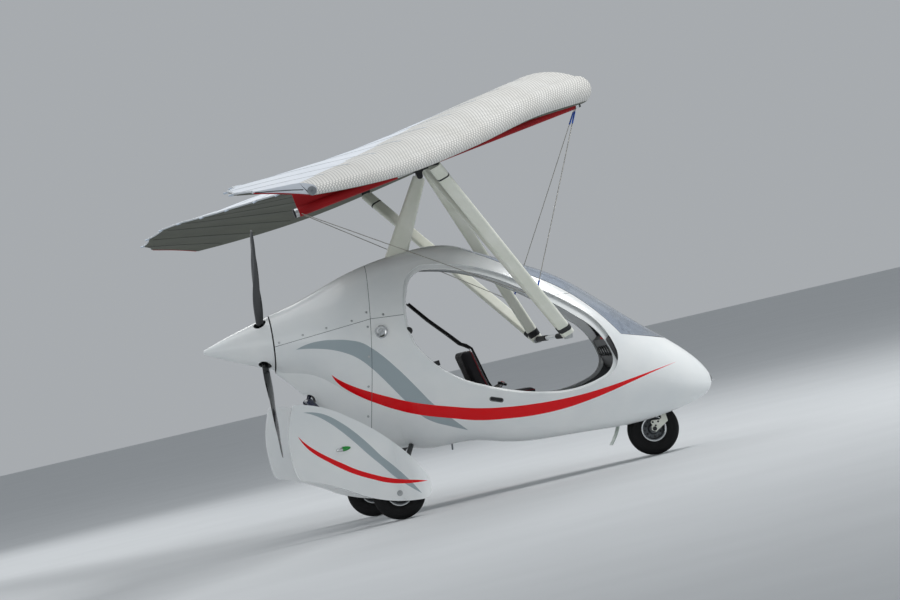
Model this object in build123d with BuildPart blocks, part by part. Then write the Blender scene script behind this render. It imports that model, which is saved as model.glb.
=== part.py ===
from build123d import *
import os
from math import atan2, cos, degrees, hypot, radians, sin

# A two-seat flex-wing microlight with a strutted wing and a faired, pusher-engined pod on three wheels.
# Millimetres. +X is forward, +Y is the left side, +Z is up, and the wheels stand on Z = 0.
# Stations are lengths forward of the rear axle, and fore() turns one into an X.
rear_axle_x = -676.0

os.makedirs("parts", exist_ok=True)


def fore(station):
    """X of a station."""
    return rear_axle_x + station


def point(station, y, z):
    """Model point of a station, a side distance and a height."""
    return Vector(fore(station), y, z)


def cross_plane(station):
    """Plane across the aircraft, with sketch x to the left side and sketch y up."""
    return Plane(origin=(fore(station), 0, 0), x_dir=(0, 1, 0), z_dir=(1, 0, 0))


def side_plane(y=0.0):
    """Plane along the aircraft, with sketch x as the station and sketch y as the height."""
    return Plane(origin=(rear_axle_x, y, 0), x_dir=(1, 0, 0), z_dir=(0, -1, 0))


def plan_plane(z=0.0):
    """Level plane, with sketch x as the station and sketch y to the left side."""
    return Plane(origin=(rear_axle_x, 0, z), x_dir=(1, 0, 0), z_dir=(0, 0, 1))


def along(start, end, chord=(1, 0, 0)):
    """Plane at start that faces end, with sketch x as near to chord as it can be."""
    axis = (end - start).normalized()
    flat = Vector(*chord)
    flat = flat - axis * flat.dot(axis)
    return Plane(origin=start, x_dir=flat.normalized(), z_dir=axis)


def save(piece, name):
    """Labels a finished piece and writes it."""
    piece.part.label = name
    export_step(piece.part, f"parts/{name}.step")


def save_set(pieces, name):
    """Joins like pieces that don't touch into one set and writes it."""
    with BuildPart() as joined:
        for piece in pieces:
            add(piece.part)
    save(joined, name)


# Wheels
wheelbase = 1850.0
track = 1600.0
tyre_radius = 175.0
tyre_width = 100.0
tyre_tread = 60.0
rim_radius = 84.0
rim_width = 76.0
rim_lip = 8.0
hub_radius = 30.0
hub_width = 90.0
web_thickness = 10.0
web_step = 12.0
hub_fillet = 8.0
tread_drop = 6.0
shoulder_drop = 22.0
shoulder_in = 5.0
bead_rise = 12.0
bead_in = 4.0
flange_thickness = 5.0
flange_slope = 7.0
well_thickness = 6.0
running_gap = 0.05
seat_gap = 0.3

# Main axles, their arms and their dampers
axle_radius = 12.0
carrier_y = 702.0
carrier_radius = 30.0
carrier_width = 26.0
arm_radius = 17.0
arm_front_station = 250.0
arm_rear_station = -70.0
arm_foot_y = 60.0
arm_front_z = 473.0
arm_rear_z = 537.0
arm_tip_gap = 14.0
damper_radius = 24.0
damper_sleeve_share = 0.56
damper_foot_station = -6.0
damper_foot_in = 30.0
damper_foot_up = 36.0
beam_radius = 14.0
post_top_station = -235.0
damper_top_station = -371.0
damper_top_y = 118.0
damper_top_z = 874.0

# Nose fork and steering
steer_station = 1905.0
stem_radius = 20.0
stem_top_z = 492.0
crown_z = 362.0
crown_thickness = 18.0
crown_half_length = 46.0
crown_round = 14.0
leg_round = 5.0
leg_inner_y = 58.0
leg_thickness = 8.0
nose_axle_radius = 10.0
nose_axle_bore_radius = 6.0
head_bottom_z = 396.0
head_height = 70.0
head_length = 70.0
foot_bar_radius = 11.0
foot_bar_half = 165.0

# Pod skin
skin = 6.0
fit = 0.3
# Each row: station, top, bottom, half width, height of the widest line, radius of the roof,
# half of the flat keel and radius of the bilge.
pod_rows = [
    (-560, 1488, 1121, 178, 1304, 160, 8, 150),
    (-370, 1517, 1045, 232, 1270, 200, 12, 190),
    (-200, 1564, 905, 288, 1240, 225, 20, 215),
    (0, 1627, 620, 336, 1160, 235, 30, 200),
    (220, 1676, 426, 370, 1060, 232, 50, 180),
    (480, 1702, 384, 390, 980, 215, 90, 170),
    (800, 1671, 333, 396, 890, 200, 115, 170),
    (1200, 1464, 274, 386, 780, 205, 125, 160),
    (1600, 1184, 247, 345, 650, 205, 125, 140),
    (1900, 897, 255, 288, 520, 190, 112, 120),
    (2130, 688, 290, 214, 440, 150, 80, 95),
    (2250, 552, 330, 118, 420, 90, 45, 52),
    (2303, 455, 385, 32, 420, 24, 10, 18),
]
# The narrow tail below the cone, in the same columns.
tail_rows = [
    (-560, 1240, 1130, 44, 1190, 34, 6, 34),
    (-440, 1250, 986, 80, 1130, 60, 8, 60),
    (-336, 1270, 838, 108, 1060, 80, 10, 80),
    (-200, 1290, 612, 160, 960, 110, 14, 110),
    (-40, 1290, 470, 235, 900, 150, 20, 140),
    (220, 1290, 427, 320, 900, 200, 40, 170),
]

# Thrust line: it falls towards the nose.
spinner_base = point(-526, 0, 1305)
spinner_tip = point(-974, 0, 1345)
spinner_radius = 181.0
spinner_wall = 4.0
spinner_tip_radius = 14.0
spinner_tip_solid = 30.0
spinner_bow = 0.565
cowl_gap = 9.0
blade_count = 3
blade_step = 360.0 / blade_count
blade_first_angle = -30.0
blade_aft = 62.0
hub_body_radius = 62.0
hub_body_length = 70.0
shaft_radius = 18.0
shaft_length = 60.0

# Joints in the skin, as stations and heights seen from the side.
firewall_low = (-14, 620)
firewall_high = (195, 1669)
cowl_split_aft = (-540, 1277)
cowl_split_front = (128, 1317)
bulkhead_thickness = 10.0

# Opening in each side, as arcs from corner to corner through a middle point.
door_arcs = [
    ((364, 1084), (341, 1240), (386, 1451)),
    ((386, 1451), (455, 1556), (561, 1590)),
    ((561, 1590), (870, 1508), (1160, 1345)),
    ((1160, 1345), (1356, 1204), (1534, 1049)),
    ((1534, 1049), (1640, 895), (1682, 740)),
    ((1682, 740), (1648, 642), (1568, 590)),
    ((1568, 590), (1380, 553), (1184, 569)),
    ((1184, 569), (960, 627), (749, 716)),
    ((749, 716), (528, 860), (364, 1084)),
]
pod_reach = 600.0
# Windscreen, as seen from the side: the roof corner, the side edge and the nose corner.
screen_roof = (836, 1640)
screen_edge = [((836, 1640), (1035, 1516), (1220, 1378)), ((1220, 1378), (1500, 1164), (1742, 846))]
screen_nose = (2066, 748)
screen_gap = 0.6

# Mast and wing hang point
hang_station = 697.0
hang_z = 2170.0
mast_foot_station = 395.0
mast_foot_z = 1630.0
mast_foot_chord = 148.0
mast_foot_width = 58.0
mast_top_chord = 84.0
mast_top_width = 40.0
hang_pin_radius = 8.0
hang_cheek = 8.0
hang_side_gap = 0.8
hang_pin_end = 8.0
mast_head_radius = 22.0

# Keel tube
keel_radius = 30.0
keel_slope = 8.44
keel_aft_length = 866.0
keel_front_length = 1172.0
keel_wall = 3.0
hang_drop = 70.0
collar_wall = 8.0
collar_length = 60.0
collar_room = 6.0

# Control frame, wing struts and stays
bar_station = 1325.0
bar_half = 720.0
bar_z = 925.0
bar_radius = 14.0
bar_wall = 2.0
upright_chord = 76.0
upright_width = 34.0
upright_top_y = 46.0
apex_forward = 64.0
strut_chord = 84.0
strut_width = 40.0
strut_top_station = 551.0
strut_top_y = 2000.0
strut_top_z = 2168.0
strut_foot_out = 34.0
strut_foot_up = 12.0
stay_radius = 2.5
stay_catch_share = 0.225

# Wing sail. Each row: side distance, leading edge station, height of its centre, radius of the
# nose, trailing edge station and height, crest share of the chord and crest height above the chord line,
# and lower surface depth below the chord line.
wing_rows = [
    (0, 1960, 2500, 88, -118, 2268, 0.22, 208, 60),
    (900, 1470, 2436, 80, -190, 2280, 0.22, 172, 46),
    (2000, 870, 2284, 60, -530, 2276, 0.23, 150, 34),
    (3100, 271, 2166, 46, -815, 2276, 0.24, 110, 24),
    (4000, -220, 2129, 38, -955, 2214, 0.25, 70, 18),
    (4430, -462, 2119, 30, -930, 2192, 0.26, 46, 14),
]
trailing_thickness = 10.0


def pod_section(row, inset):
    """Closed section of tangent arcs with a flat keel, made smaller all round by inset."""
    station, top, bottom, half_width, widest, top_radius, flat, bilge_radius = row
    top, bottom, half_width = top - inset, bottom + inset, half_width - inset
    top_radius, bilge_radius = top_radius - inset, bilge_radius - inset
    rise = top - top_radius - widest
    upper = (half_width**2 + rise**2 - top_radius**2) / (2 * (half_width - top_radius))
    upper_turn = degrees(atan2(rise, upper - half_width))
    drop = widest - bottom - bilge_radius
    reach = half_width - flat
    lower = (reach**2 + drop**2 - bilge_radius**2) / (2 * (reach - bilge_radius))
    lower_turn = degrees(atan2(drop, lower - reach))
    with BuildSketch(cross_plane(station)) as section:
        with BuildLine():
            CenterArc((half_width - upper, widest), upper, 0, upper_turn)
            CenterArc((0, top - top_radius), top_radius, upper_turn, 180 - 2 * upper_turn)
            CenterArc((upper - half_width, widest), upper, 180 - upper_turn, upper_turn)
            CenterArc((lower - half_width, widest), lower, 180, lower_turn)
            CenterArc((-flat, bottom + bilge_radius), bilge_radius, 180 + lower_turn, 90 - lower_turn)
            Line((-flat, bottom), (flat, bottom))
            CenterArc((flat, bottom + bilge_radius), bilge_radius, 270, 90 - lower_turn)
            CenterArc((half_width - lower, widest), lower, 360 - lower_turn, lower_turn)
        make_face()
    return section.sketch


def pod_form(inset):
    """The closed pod, cone and tail together, made smaller all round by inset."""
    nose_row = (pod_rows[-1][0] - inset,) + pod_rows[-1][1:]
    with BuildPart() as form:
        loft(sections=[pod_section(row, inset) for row in pod_rows[:-1] + [nose_row]])
        tail = loft(sections=[pod_section(row, inset) for row in tail_rows], mode=Mode.PRIVATE)
        add(tail)
    return form.part


thrust = (spinner_tip - spinner_base).normalized()
cowl_end = Plane(origin=spinner_base - thrust * cowl_gap, z_dir=thrust * -1)
outer_form = pod_form(0)
inner_form = pod_form(skin)
cabin_form = pod_form(skin + fit)


def line_plane(low, high):
    """Plane across the aircraft through two side-view points, facing forward or up."""
    rise = Vector(high[0] - low[0], 0, high[1] - low[1]).normalized()
    return Plane(origin=point(low[0], 0, low[1]), x_dir=(0, 1, 0), z_dir=Vector(0, 1, 0).cross(rise))


firewall = line_plane(firewall_low, firewall_high)
split_rise = Vector(
    cowl_split_front[0] - cowl_split_aft[0], 0, cowl_split_front[1] - cowl_split_aft[1]
).normalized()
cowl_split = Plane(
    origin=point(cowl_split_aft[0], 0, cowl_split_aft[1]),
    x_dir=(0, 1, 0),
    z_dir=split_rise.cross(Vector(0, 1, 0)),
)

# Nose wheel opening in the belly
arch_half = 112.0
arch_aft_station = steer_station - 242.0
arch_front_station = steer_station + 128.0
arch_top_z = 372.0
arch_round = 60.0


def door_face():
    """Side-view outline of the opening beside the seats."""
    with BuildSketch(side_plane()) as face:
        with BuildLine():
            for start, middle, end in door_arcs:
                ThreePointArc(start, middle, end)
        make_face()
    return face.sketch


def screen_face(shrink=0.0):
    """Side-view outline that holds the windscreen, out past the roof line."""
    with BuildSketch(side_plane()) as face:
        with BuildLine():
            for start, middle, end in screen_edge:
                ThreePointArc(start, middle, end)
            Polyline(screen_edge[-1][2], screen_nose, (2300, 1100), (1300, 1900), (900, 1800), screen_roof)
        make_face()
        if shrink:
            offset(amount=-shrink, kind=Kind.INTERSECTION)
    return face.sketch


with BuildPart() as shell:
    add(outer_form)
    add(inner_form, mode=Mode.SUBTRACT)
    split(bisect_by=cowl_end, keep=Keep.TOP)

with BuildPart() as pod_shell:
    add(shell.part)
    split(bisect_by=firewall, keep=Keep.TOP)
    extrude(door_face(), amount=pod_reach, both=True, mode=Mode.SUBTRACT)
    extrude(screen_face(), amount=pod_reach, both=True, mode=Mode.SUBTRACT)
    with BuildSketch(plan_plane(arch_top_z)):
        with Locations(((arch_aft_station + arch_front_station) / 2, 0)):
            RectangleRounded(arch_front_station - arch_aft_station, 2 * arch_half, arch_round)
    extrude(amount=-arch_top_z, mode=Mode.SUBTRACT)
save(pod_shell, "pod_shell")

with BuildPart() as windscreen:
    add(shell.part)
    extrude(screen_face(screen_gap), amount=pod_reach, both=True, mode=Mode.INTERSECT)
save(windscreen, "windscreen")

cowl_face_gap = 0.4
with BuildPart() as cowl:
    add(shell.part)
    split(bisect_by=firewall.offset(-cowl_face_gap), keep=Keep.BOTTOM)
with BuildPart() as cowl_upper:
    add(cowl.part)
    split(bisect_by=cowl_split.offset(cowl_face_gap), keep=Keep.TOP)
save(cowl_upper, "cowl_upper")

# Round hole in each side of the lower cowl where the damper passes
notch_radius = 46.0
notch_station = -372.0
notch_z = 874.0
with BuildPart() as cowl_lower:
    add(cowl.part)
    split(bisect_by=cowl_split, keep=Keep.BOTTOM)
    with BuildSketch(side_plane()):
        with Locations((notch_station, notch_z)):
            Circle(notch_radius)
    extrude(amount=pod_reach, both=True, mode=Mode.SUBTRACT)
save(cowl_lower, "cowl_lower")

# Bulkhead behind the seats, floor and the beam that carries the steering head
with BuildPart() as bulkhead:
    add(cabin_form)
    split(bisect_by=firewall, keep=Keep.TOP)
    split(bisect_by=firewall.offset(bulkhead_thickness), keep=Keep.BOTTOM)
save(bulkhead, "bulkhead")

floor_z = 446.0
floor_thickness = 8.0
# Wider than the cabin: what is cut to the cabin's form starts this wide.
cabin_room = 800.0
floor_aft_station = 30.0
floor_front_station = 1640.0
with BuildPart() as cabin_floor:
    with BuildSketch(plan_plane(floor_z - floor_thickness)):
        with Locations(((floor_aft_station + floor_front_station) / 2, 0)):
            Rectangle(floor_front_station - floor_aft_station, cabin_room)
    extrude(amount=floor_thickness)
    add(cabin_form, mode=Mode.INTERSECT)
    split(bisect_by=firewall.offset(bulkhead_thickness + fit), keep=Keep.TOP)
save(cabin_floor, "cabin_floor")

with BuildPart() as steering_head:
    with BuildSketch(plan_plane(head_bottom_z)):
        with Locations((steer_station, 0)):
            Rectangle(head_length, cabin_room)
    extrude(amount=head_height)
    add(cabin_form, mode=Mode.INTERSECT)
    with BuildSketch(plan_plane(head_bottom_z - fit)):
        with Locations((steer_station, 0)):
            Circle(stem_radius + running_gap)
    extrude(amount=head_height + 2 * fit, mode=Mode.SUBTRACT)
save(steering_head, "steering_head")

# Seats on their tub
tub_half = 116.0
tub_aft_station = 262.0
tub_front_station = 1130.0
tub_top_z = 560.0
tub_lean = 30.0
with BuildPart() as seat_tub:
    with BuildSketch(side_plane()):
        with BuildLine():
            Polyline(
                (tub_aft_station, floor_z + fit),
                (tub_front_station, floor_z + fit),
                (tub_front_station - tub_lean, tub_top_z),
                (tub_aft_station, tub_top_z),
                close=True,
            )
        make_face()
    extrude(amount=tub_half, both=True)
save(seat_tub, "seat_tub")

seat_half = 205.0
seat_round = 26.0
seat_edge_round = 14.0


def seat_pad(outline):
    """Cushion and back in one, from a side-view outline."""
    with BuildPart() as pad:
        with BuildSketch(side_plane()):
            with BuildLine():
                Polyline(*outline, close=True)
            make_face()
            fillet(vertices(), seat_round)
        extrude(amount=seat_half, both=True)
        fillet(faces().filter_by(Axis.Y).edges(), seat_edge_round)
    return pad


seat_z = tub_top_z + fit
front_seat = seat_pad([(1128, seat_z), (1134, 628), (830, 640), (748, 985), (670, 985), (735, seat_z)])
rear_seat = seat_pad([(660, seat_z), (664, 662), (372, 676), (262, 1150), (172, 1150), (262, seat_z)])
save_set([front_seat, rear_seat], "seats")

dash_outline = [(1630, 835), (1662, 862), (1716, 862), (1716, 640), (1680, 640)]
with BuildPart() as dash:
    with BuildSketch(side_plane()):
        with BuildLine():
            Polyline(*dash_outline, close=True)
        make_face()
    extrude(amount=cabin_room / 2, both=True)
    add(cabin_form, mode=Mode.INTERSECT)
save(dash, "dash")

# Engine as one plain block with its gearbox nose, which carries the propeller shaft
engine_aft_station = -262.0
engine_half = 190.0
engine_front_station = 96.0
engine_low_z = 1130.0
engine_high_z = 1440.0
engine_lean = 62.0
engine_fall = 26.0
gearbox_radius = 58.0
gearbox_length = 330.0
gearbox_gap = 12.0
shaft_end_room = 20.0
shaft_end = spinner_base - thrust * gearbox_gap
with BuildPart() as engine_block:
    with BuildSketch(side_plane()):
        with BuildLine():
            Polyline(
                (engine_aft_station, engine_low_z),
                (engine_front_station, engine_low_z),
                (engine_front_station + engine_lean, engine_high_z),
                (engine_aft_station, engine_high_z - engine_fall),
                close=True,
            )
        make_face()
    extrude(amount=engine_half, both=True)
    split(bisect_by=firewall.offset(-fit), keep=Keep.BOTTOM)
    with BuildSketch(Plane(origin=shaft_end, z_dir=thrust * -1)):
        Circle(gearbox_radius)
    extrude(amount=gearbox_length)
    with BuildSketch(Plane(origin=shaft_end, z_dir=thrust * -1)):
        Circle(shaft_radius + running_gap)
    extrude(amount=shaft_length + shaft_end_room, mode=Mode.SUBTRACT)
save(engine_block, "engine_block")

# Propeller
prop_centre = spinner_base + thrust * blade_aft
profile_plane = Plane(origin=spinner_base, x_dir=thrust, z_dir=(0, -1, 0))
spinner_length = (spinner_tip - spinner_base).length


def spinner_face(radius, length, nose_radius):
    """Half section of the spinner, as a slightly bowed cone with a round tip."""
    with BuildSketch(profile_plane) as face:
        with BuildLine():
            Line((0, 0), (length, 0))
            Line((length, 0), (length - 1, nose_radius))
            ThreePointArc((length - 1, nose_radius), (length / 2, radius * spinner_bow), (0, radius))
            Line((0, radius), (0, 0))
        make_face()
    return face.sketch


def blade_plane(angle, radius, twist=0.0):
    """Plane square to a blade at a radius, with sketch x across the disc turned by twist."""
    up = Vector(0, 0, 1) - thrust * thrust.Z
    up = up.normalized()
    side = thrust.cross(up)
    out = up * cos(radians(angle)) + side * sin(radians(angle))
    across = thrust.cross(out)
    chord = across * cos(radians(twist)) + thrust * sin(radians(twist))
    return Plane(origin=prop_centre + out * radius, x_dir=chord, z_dir=out)


blade_hole_radius = 42.0
blade_hole_start = 90.0
backplate_thickness = 4.0
backplate_gap = 1.8
with BuildPart() as spinner:
    revolve(spinner_face(spinner_radius, spinner_length, spinner_tip_radius), axis=Axis(spinner_base, thrust))
    revolve(
        spinner_face(spinner_radius - spinner_wall, spinner_length - spinner_tip_solid, spinner_wall),
        axis=Axis(spinner_base, thrust),
        mode=Mode.SUBTRACT,
    )
    for blade in range(blade_count):
        with BuildSketch(blade_plane(blade_first_angle + blade_step * blade, blade_hole_start)):
            Circle(blade_hole_radius)
        extrude(amount=spinner_radius, mode=Mode.SUBTRACT)
save(spinner, "spinner")

with BuildPart() as prop_hub:
    with BuildSketch(Plane(origin=spinner_base, z_dir=thrust)):
        Circle(hub_body_radius)
    extrude(amount=blade_aft + hub_body_length / 2)
    with BuildSketch(Plane(origin=spinner_base, z_dir=thrust)):
        Circle(spinner_radius - spinner_wall - backplate_gap)
    extrude(amount=backplate_thickness)
    with BuildSketch(Plane(origin=spinner_base, z_dir=thrust * -1)):
        Circle(shaft_radius)
    extrude(amount=gearbox_gap + shaft_length)
save(prop_hub, "prop_hub")

# Each row: radius from the shaft, chord, thickness and twist of one blade.
blade_rows = [
    (hub_body_radius + fit, 46, 46, 50),
    (130, 52, 38, 50),
    (260, 88, 22, 38),
    (500, 92, 13, 24),
    (740, 74, 8, 17),
    (865, 34, 4, 14),
]
blades = []
for blade in range(blade_count):
    with BuildPart() as prop_blade:
        for radius, chord, thickness, twist in blade_rows:
            with BuildSketch(blade_plane(blade_first_angle + blade_step * blade, radius, twist)):
                with BuildLine():
                    ThreePointArc((-chord / 2, 0), (0, thickness / 2), (chord / 2, 0))
                    ThreePointArc((chord / 2, 0), (0, -thickness / 2), (-chord / 2, 0))
                make_face()
        loft()
    blades.append(prop_blade)
save_set(blades, "prop_blades")


def wheel(station, y, name, bore_radius):
    """Tyre and rim turned about a cross axis at axle height."""
    section = Plane(origin=point(station, y, tyre_radius), x_dir=(0, 1, 0), z_dir=(1, 0, 0))
    spin = Axis(point(station, y, tyre_radius), (0, 1, 0))
    half = tyre_width / 2
    tread = tyre_tread / 2
    bead = rim_radius - rim_lip + seat_gap
    lip = rim_radius + seat_gap
    heel = rim_width / 2 - flange_slope - seat_gap
    shoulder = (tyre_radius + bead) / 2
    with BuildPart() as tyre:
        with BuildSketch(section):
            with BuildLine():
                ThreePointArc((-tread, tyre_radius - tread_drop), (0, tyre_radius), (tread, tyre_radius - tread_drop))
                ThreePointArc((tread, tyre_radius - tread_drop), (half - shoulder_in, tyre_radius - shoulder_drop), (half, shoulder))
                ThreePointArc((half, shoulder), (half - bead_in, lip + bead_rise), (heel, lip))
                Polyline((heel, lip), (heel, bead), (-heel, bead), (-heel, lip))
                ThreePointArc((-heel, lip), (bead_in - half, lip + bead_rise), (-half, shoulder))
                ThreePointArc((-half, shoulder), (shoulder_in - half, tyre_radius - shoulder_drop), (-tread, tyre_radius - tread_drop))
            make_face()
        revolve(axis=spin)
    save(tyre, f"tyre_{name}")
    well = rim_radius - rim_lip
    with BuildPart() as rim:
        with BuildSketch(section):
            with BuildLine():
                Polyline(
                    (-rim_width / 2, well - well_thickness),
                    (-rim_width / 2, rim_radius),
                    (-rim_width / 2 + flange_thickness, rim_radius),
                    (-rim_width / 2 + flange_slope, well),
                    (rim_width / 2 - flange_slope, well),
                    (rim_width / 2 - flange_thickness, rim_radius),
                    (rim_width / 2, rim_radius),
                    (rim_width / 2, well - well_thickness),
                    (web_thickness / 2, well - web_step),
                    (web_thickness / 2, hub_radius + hub_fillet),
                    (hub_width / 2, hub_radius),
                    (hub_width / 2, bore_radius),
                    (-hub_width / 2, bore_radius),
                    (-hub_width / 2, hub_radius),
                    (-web_thickness / 2, hub_radius + hub_fillet),
                    (-web_thickness / 2, well - web_step),
                    close=True,
                )
            make_face()
        revolve(axis=spin)
    save(rim, f"rim_{name}")


for side, name in ((1, "left"), (-1, "right")):
    wheel(0, side * track / 2, name, axle_radius + running_gap)
wheel(wheelbase, 0, "nose", nose_axle_radius + running_gap)

# Main gear: on each side a carrier with its stub axle, held by two arms from the belly
spat_outer_y = 884.0
spat_inner_y = 728.0
axle_end_y = spat_outer_y - 16.0
gear_legs = []
for side in (1, -1):
    carrier = point(0, side * carrier_y, tyre_radius)
    with BuildPart() as gear_leg:
        with BuildSketch(Plane(origin=carrier, x_dir=(1, 0, 0), z_dir=(0, side, 0))):
            Circle(carrier_radius)
        extrude(amount=carrier_width / 2, both=True)
        with BuildSketch(Plane(origin=carrier, x_dir=(1, 0, 0), z_dir=(0, side, 0))):
            Circle(axle_radius)
        extrude(amount=axle_end_y - carrier_y)
        for foot, foot_z in ((arm_front_station, arm_front_z), (arm_rear_station, arm_rear_z)):
            start = point(foot, side * arm_foot_y, foot_z)
            with BuildSketch(along(start, carrier)):
                Circle(arm_radius)
            extrude(amount=(carrier - start).length - arm_tip_gap)
        add(outer_form, mode=Mode.SUBTRACT)
    gear_legs.append(gear_leg)
save_set(gear_legs, "gear_legs")

# Dampers on the ends of a cross tube that a post holds under the engine
beam_centre = point(damper_top_station, 0, damper_top_z)
post_top = point(post_top_station, 0, engine_low_z)
with BuildPart() as dampers:
    for side in (1, -1):
        damper_top = point(damper_top_station, side * damper_top_y, damper_top_z)
        damper_foot = point(damper_foot_station, side * (carrier_y - damper_foot_in), tyre_radius + damper_foot_up)
        with BuildSketch(along(damper_top, damper_foot)):
            Circle(damper_radius)
        extrude(amount=(damper_foot - damper_top).length * damper_sleeve_share)
        with BuildSketch(along(damper_top, damper_foot)):
            Circle(damper_radius / 2)
        extrude(amount=(damper_foot - damper_top).length)
    with BuildSketch(side_plane()):
        with Locations((damper_top_station, damper_top_z)):
            Circle(beam_radius)
    extrude(amount=damper_top_y, both=True)
    with BuildSketch(along(beam_centre, post_top)):
        Circle(beam_radius)
    extrude(amount=(post_top - beam_centre).length + beam_radius)
    split(bisect_by=Plane(origin=(0, 0, engine_low_z - fit)), keep=Keep.BOTTOM)
    for gear_leg in gear_legs:
        add(gear_leg.part, mode=Mode.SUBTRACT)
save(dampers, "dampers")

# Wheel spats, drawn up and back into a high tail. Arcs run from corner to corner through a middle point.
spat_arcs = [
    ((-541, 885), (-370, 828), (-222, 732)),
    ((-222, 732), (20, 515), (207, 238)),
    ((207, 238), (217, 168), (163, 104)),
    ((163, 104), (-34, 130), (-236, 210)),
    ((-236, 210), (-430, 324), (-590, 391)),
    ((-590, 391), (-612, 403), (-624, 424)),
    ((-624, 424), (-631, 645), (-567, 862)),
    ((-567, 862), (-557, 877), (-541, 885)),
]
# Plan view, from the nose back to the tail: the inner side draws in towards the thin rear edge
spat_nose_station = 218.0
spat_full_station = 20.0
spat_taper_station = -170.0
spat_waist = (-400, 764)
spat_flat_station = -380.0
spat_bend = (-520, 881)
spat_tail_station = -660.0
spat_tail_inner_y = 850.0
spat_tail_outer_y = 872.0
spat_reach = 1000.0
wheel_clear = 14.0
lamp_station = -299.0
lamp_z = 536.0
lamp_half_length = 46.0
lamp_half_height = 15.0
lamp_depth = 14.0
lamp_taper = 30.0


def spat_side_face():
    """Side-view outline of a spat."""
    with BuildSketch(side_plane()) as face:
        with BuildLine():
            for start, middle, end in spat_arcs:
                ThreePointArc(start, middle, end)
        make_face()
    return face.sketch


def spat_plan_face(side):
    """Outline of a spat from above: blunt at the front and drawn out into a thin rear edge."""
    middle = (spat_outer_y + spat_inner_y) / 2
    with BuildLine() as outline:
        ThreePointArc(
            (spat_full_station, side * spat_outer_y),
            (spat_nose_station, side * middle),
            (spat_full_station, side * spat_inner_y),
        )
        Line((spat_full_station, side * spat_inner_y), (spat_taper_station, side * spat_inner_y))
        ThreePointArc(
            (spat_taper_station, side * spat_inner_y),
            (spat_waist[0], side * spat_waist[1]),
            (spat_tail_station, side * spat_tail_inner_y),
        )
        Line((spat_tail_station, side * spat_tail_inner_y), (spat_tail_station, side * spat_tail_outer_y))
        ThreePointArc(
            (spat_tail_station, side * spat_tail_outer_y),
            (spat_bend[0], side * spat_bend[1]),
            (spat_flat_station, side * spat_outer_y),
        )
        Line((spat_flat_station, side * spat_outer_y), (spat_full_station, side * spat_outer_y))
    with BuildSketch(plan_plane()) as face:
        add(outline.line)
        make_face()
    return face.sketch


def spat_form(side):
    """A spat before the wheel well is cut."""
    with BuildPart() as form:
        extrude(spat_side_face(), amount=-side * spat_reach)
        extrude(spat_plan_face(side), amount=spat_reach, mode=Mode.INTERSECT)
    return form.part


for side, name in ((1, "left"), (-1, "right")):
    with BuildPart() as spat:
        add(spat_form(side))
        with BuildSketch(side_plane(side * track / 2)):
            with Locations((0, tyre_radius)):
                Circle(tyre_radius + wheel_clear)
        extrude(amount=tyre_width / 2 + wheel_clear, both=True, mode=Mode.SUBTRACT)
        with BuildSketch(side_plane(side * track / 2)):
            with Locations((0, tyre_radius)):
                Circle(axle_radius + fit)
        extrude(amount=side * -(axle_end_y + fit - track / 2), mode=Mode.SUBTRACT)
        with BuildSketch(side_plane(side * track / 2)):
            with Locations((0, tyre_radius)):
                Circle(carrier_radius)
        extrude(amount=side * (track / 2 - spat_inner_y + 2), mode=Mode.SUBTRACT)
    save(spat, f"spat_{name}")
    lamp_seat = point(lamp_station, side * spat_outer_y, lamp_z)
    with BuildPart() as nav_lamp:
        with BuildSketch(Plane(origin=lamp_seat, x_dir=(1, 0, 0), z_dir=(0, side, 0))):
            Ellipse(lamp_half_length, lamp_half_height)
        extrude(amount=lamp_depth, taper=lamp_taper)
    save(nav_lamp, f"nav_lamp_{name}")

# Nose fork, turning about a plumb stem
fork_leg = [
    (steer_station - 8, crown_z + 4),
    (steer_station + 30, crown_z + 4),
    (1944, 262),
    (1950, 208),
    (wheelbase + 8, tyre_radius - 22),
    (wheelbase - 20, tyre_radius - tread_drop),
    (wheelbase - 16, tyre_radius + 22),
    (1912, 236),
    (1908, 262),
]
fork_axle_half = leg_inner_y + leg_thickness + 10
with BuildPart() as nose_fork:
    with BuildSketch(plan_plane(crown_z)):
        with Locations((steer_station, 0)):
            RectangleRounded(2 * crown_half_length, 2 * (leg_inner_y + leg_thickness), crown_round)
    extrude(amount=crown_thickness)
    with BuildSketch(plan_plane(crown_z)):
        with Locations((steer_station, 0)):
            Circle(stem_radius)
    extrude(amount=stem_top_z - crown_z)
    for side in (1, -1):
        with BuildSketch(side_plane(side * leg_inner_y)):
            with BuildLine():
                Polyline(*fork_leg, close=True)
            make_face()
            fillet(vertices().sort_by(Axis.Y)[:5], leg_round)
        extrude(amount=-side * leg_thickness)
    with BuildSketch(side_plane()):
        with Locations((wheelbase, tyre_radius)):
            Circle(nose_axle_radius)
    extrude(amount=fork_axle_half, both=True)
    with BuildSketch(side_plane()):
        with Locations((wheelbase, tyre_radius)):
            Circle(nose_axle_bore_radius)
    extrude(amount=fork_axle_half, both=True, mode=Mode.SUBTRACT)
save(nose_fork, "nose_fork")

with BuildPart() as foot_bar:
    with BuildSketch(side_plane()):
        with Locations((steer_station, stem_top_z + foot_bar_radius + fit)):
            Circle(foot_bar_radius)
    extrude(amount=foot_bar_half, both=True)
save(foot_bar, "foot_bar")

# Small pieces on the pod
flap_back = ((1622, 252), (1586, 186), (1546, 133))
flap_front = ((1549, 131), (1591, 183), (1628, 252))
flap_half = 62.0
with BuildPart() as mud_flap:
    with BuildSketch(side_plane()):
        with BuildLine():
            ThreePointArc(*flap_back)
            Line(flap_back[2], flap_front[0])
            ThreePointArc(*flap_front)
            Line(flap_front[2], flap_back[0])
        make_face()
    extrude(amount=flap_half, both=True)
    add(outer_form, mode=Mode.SUBTRACT)
save(mud_flap, "mud_flap")

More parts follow.
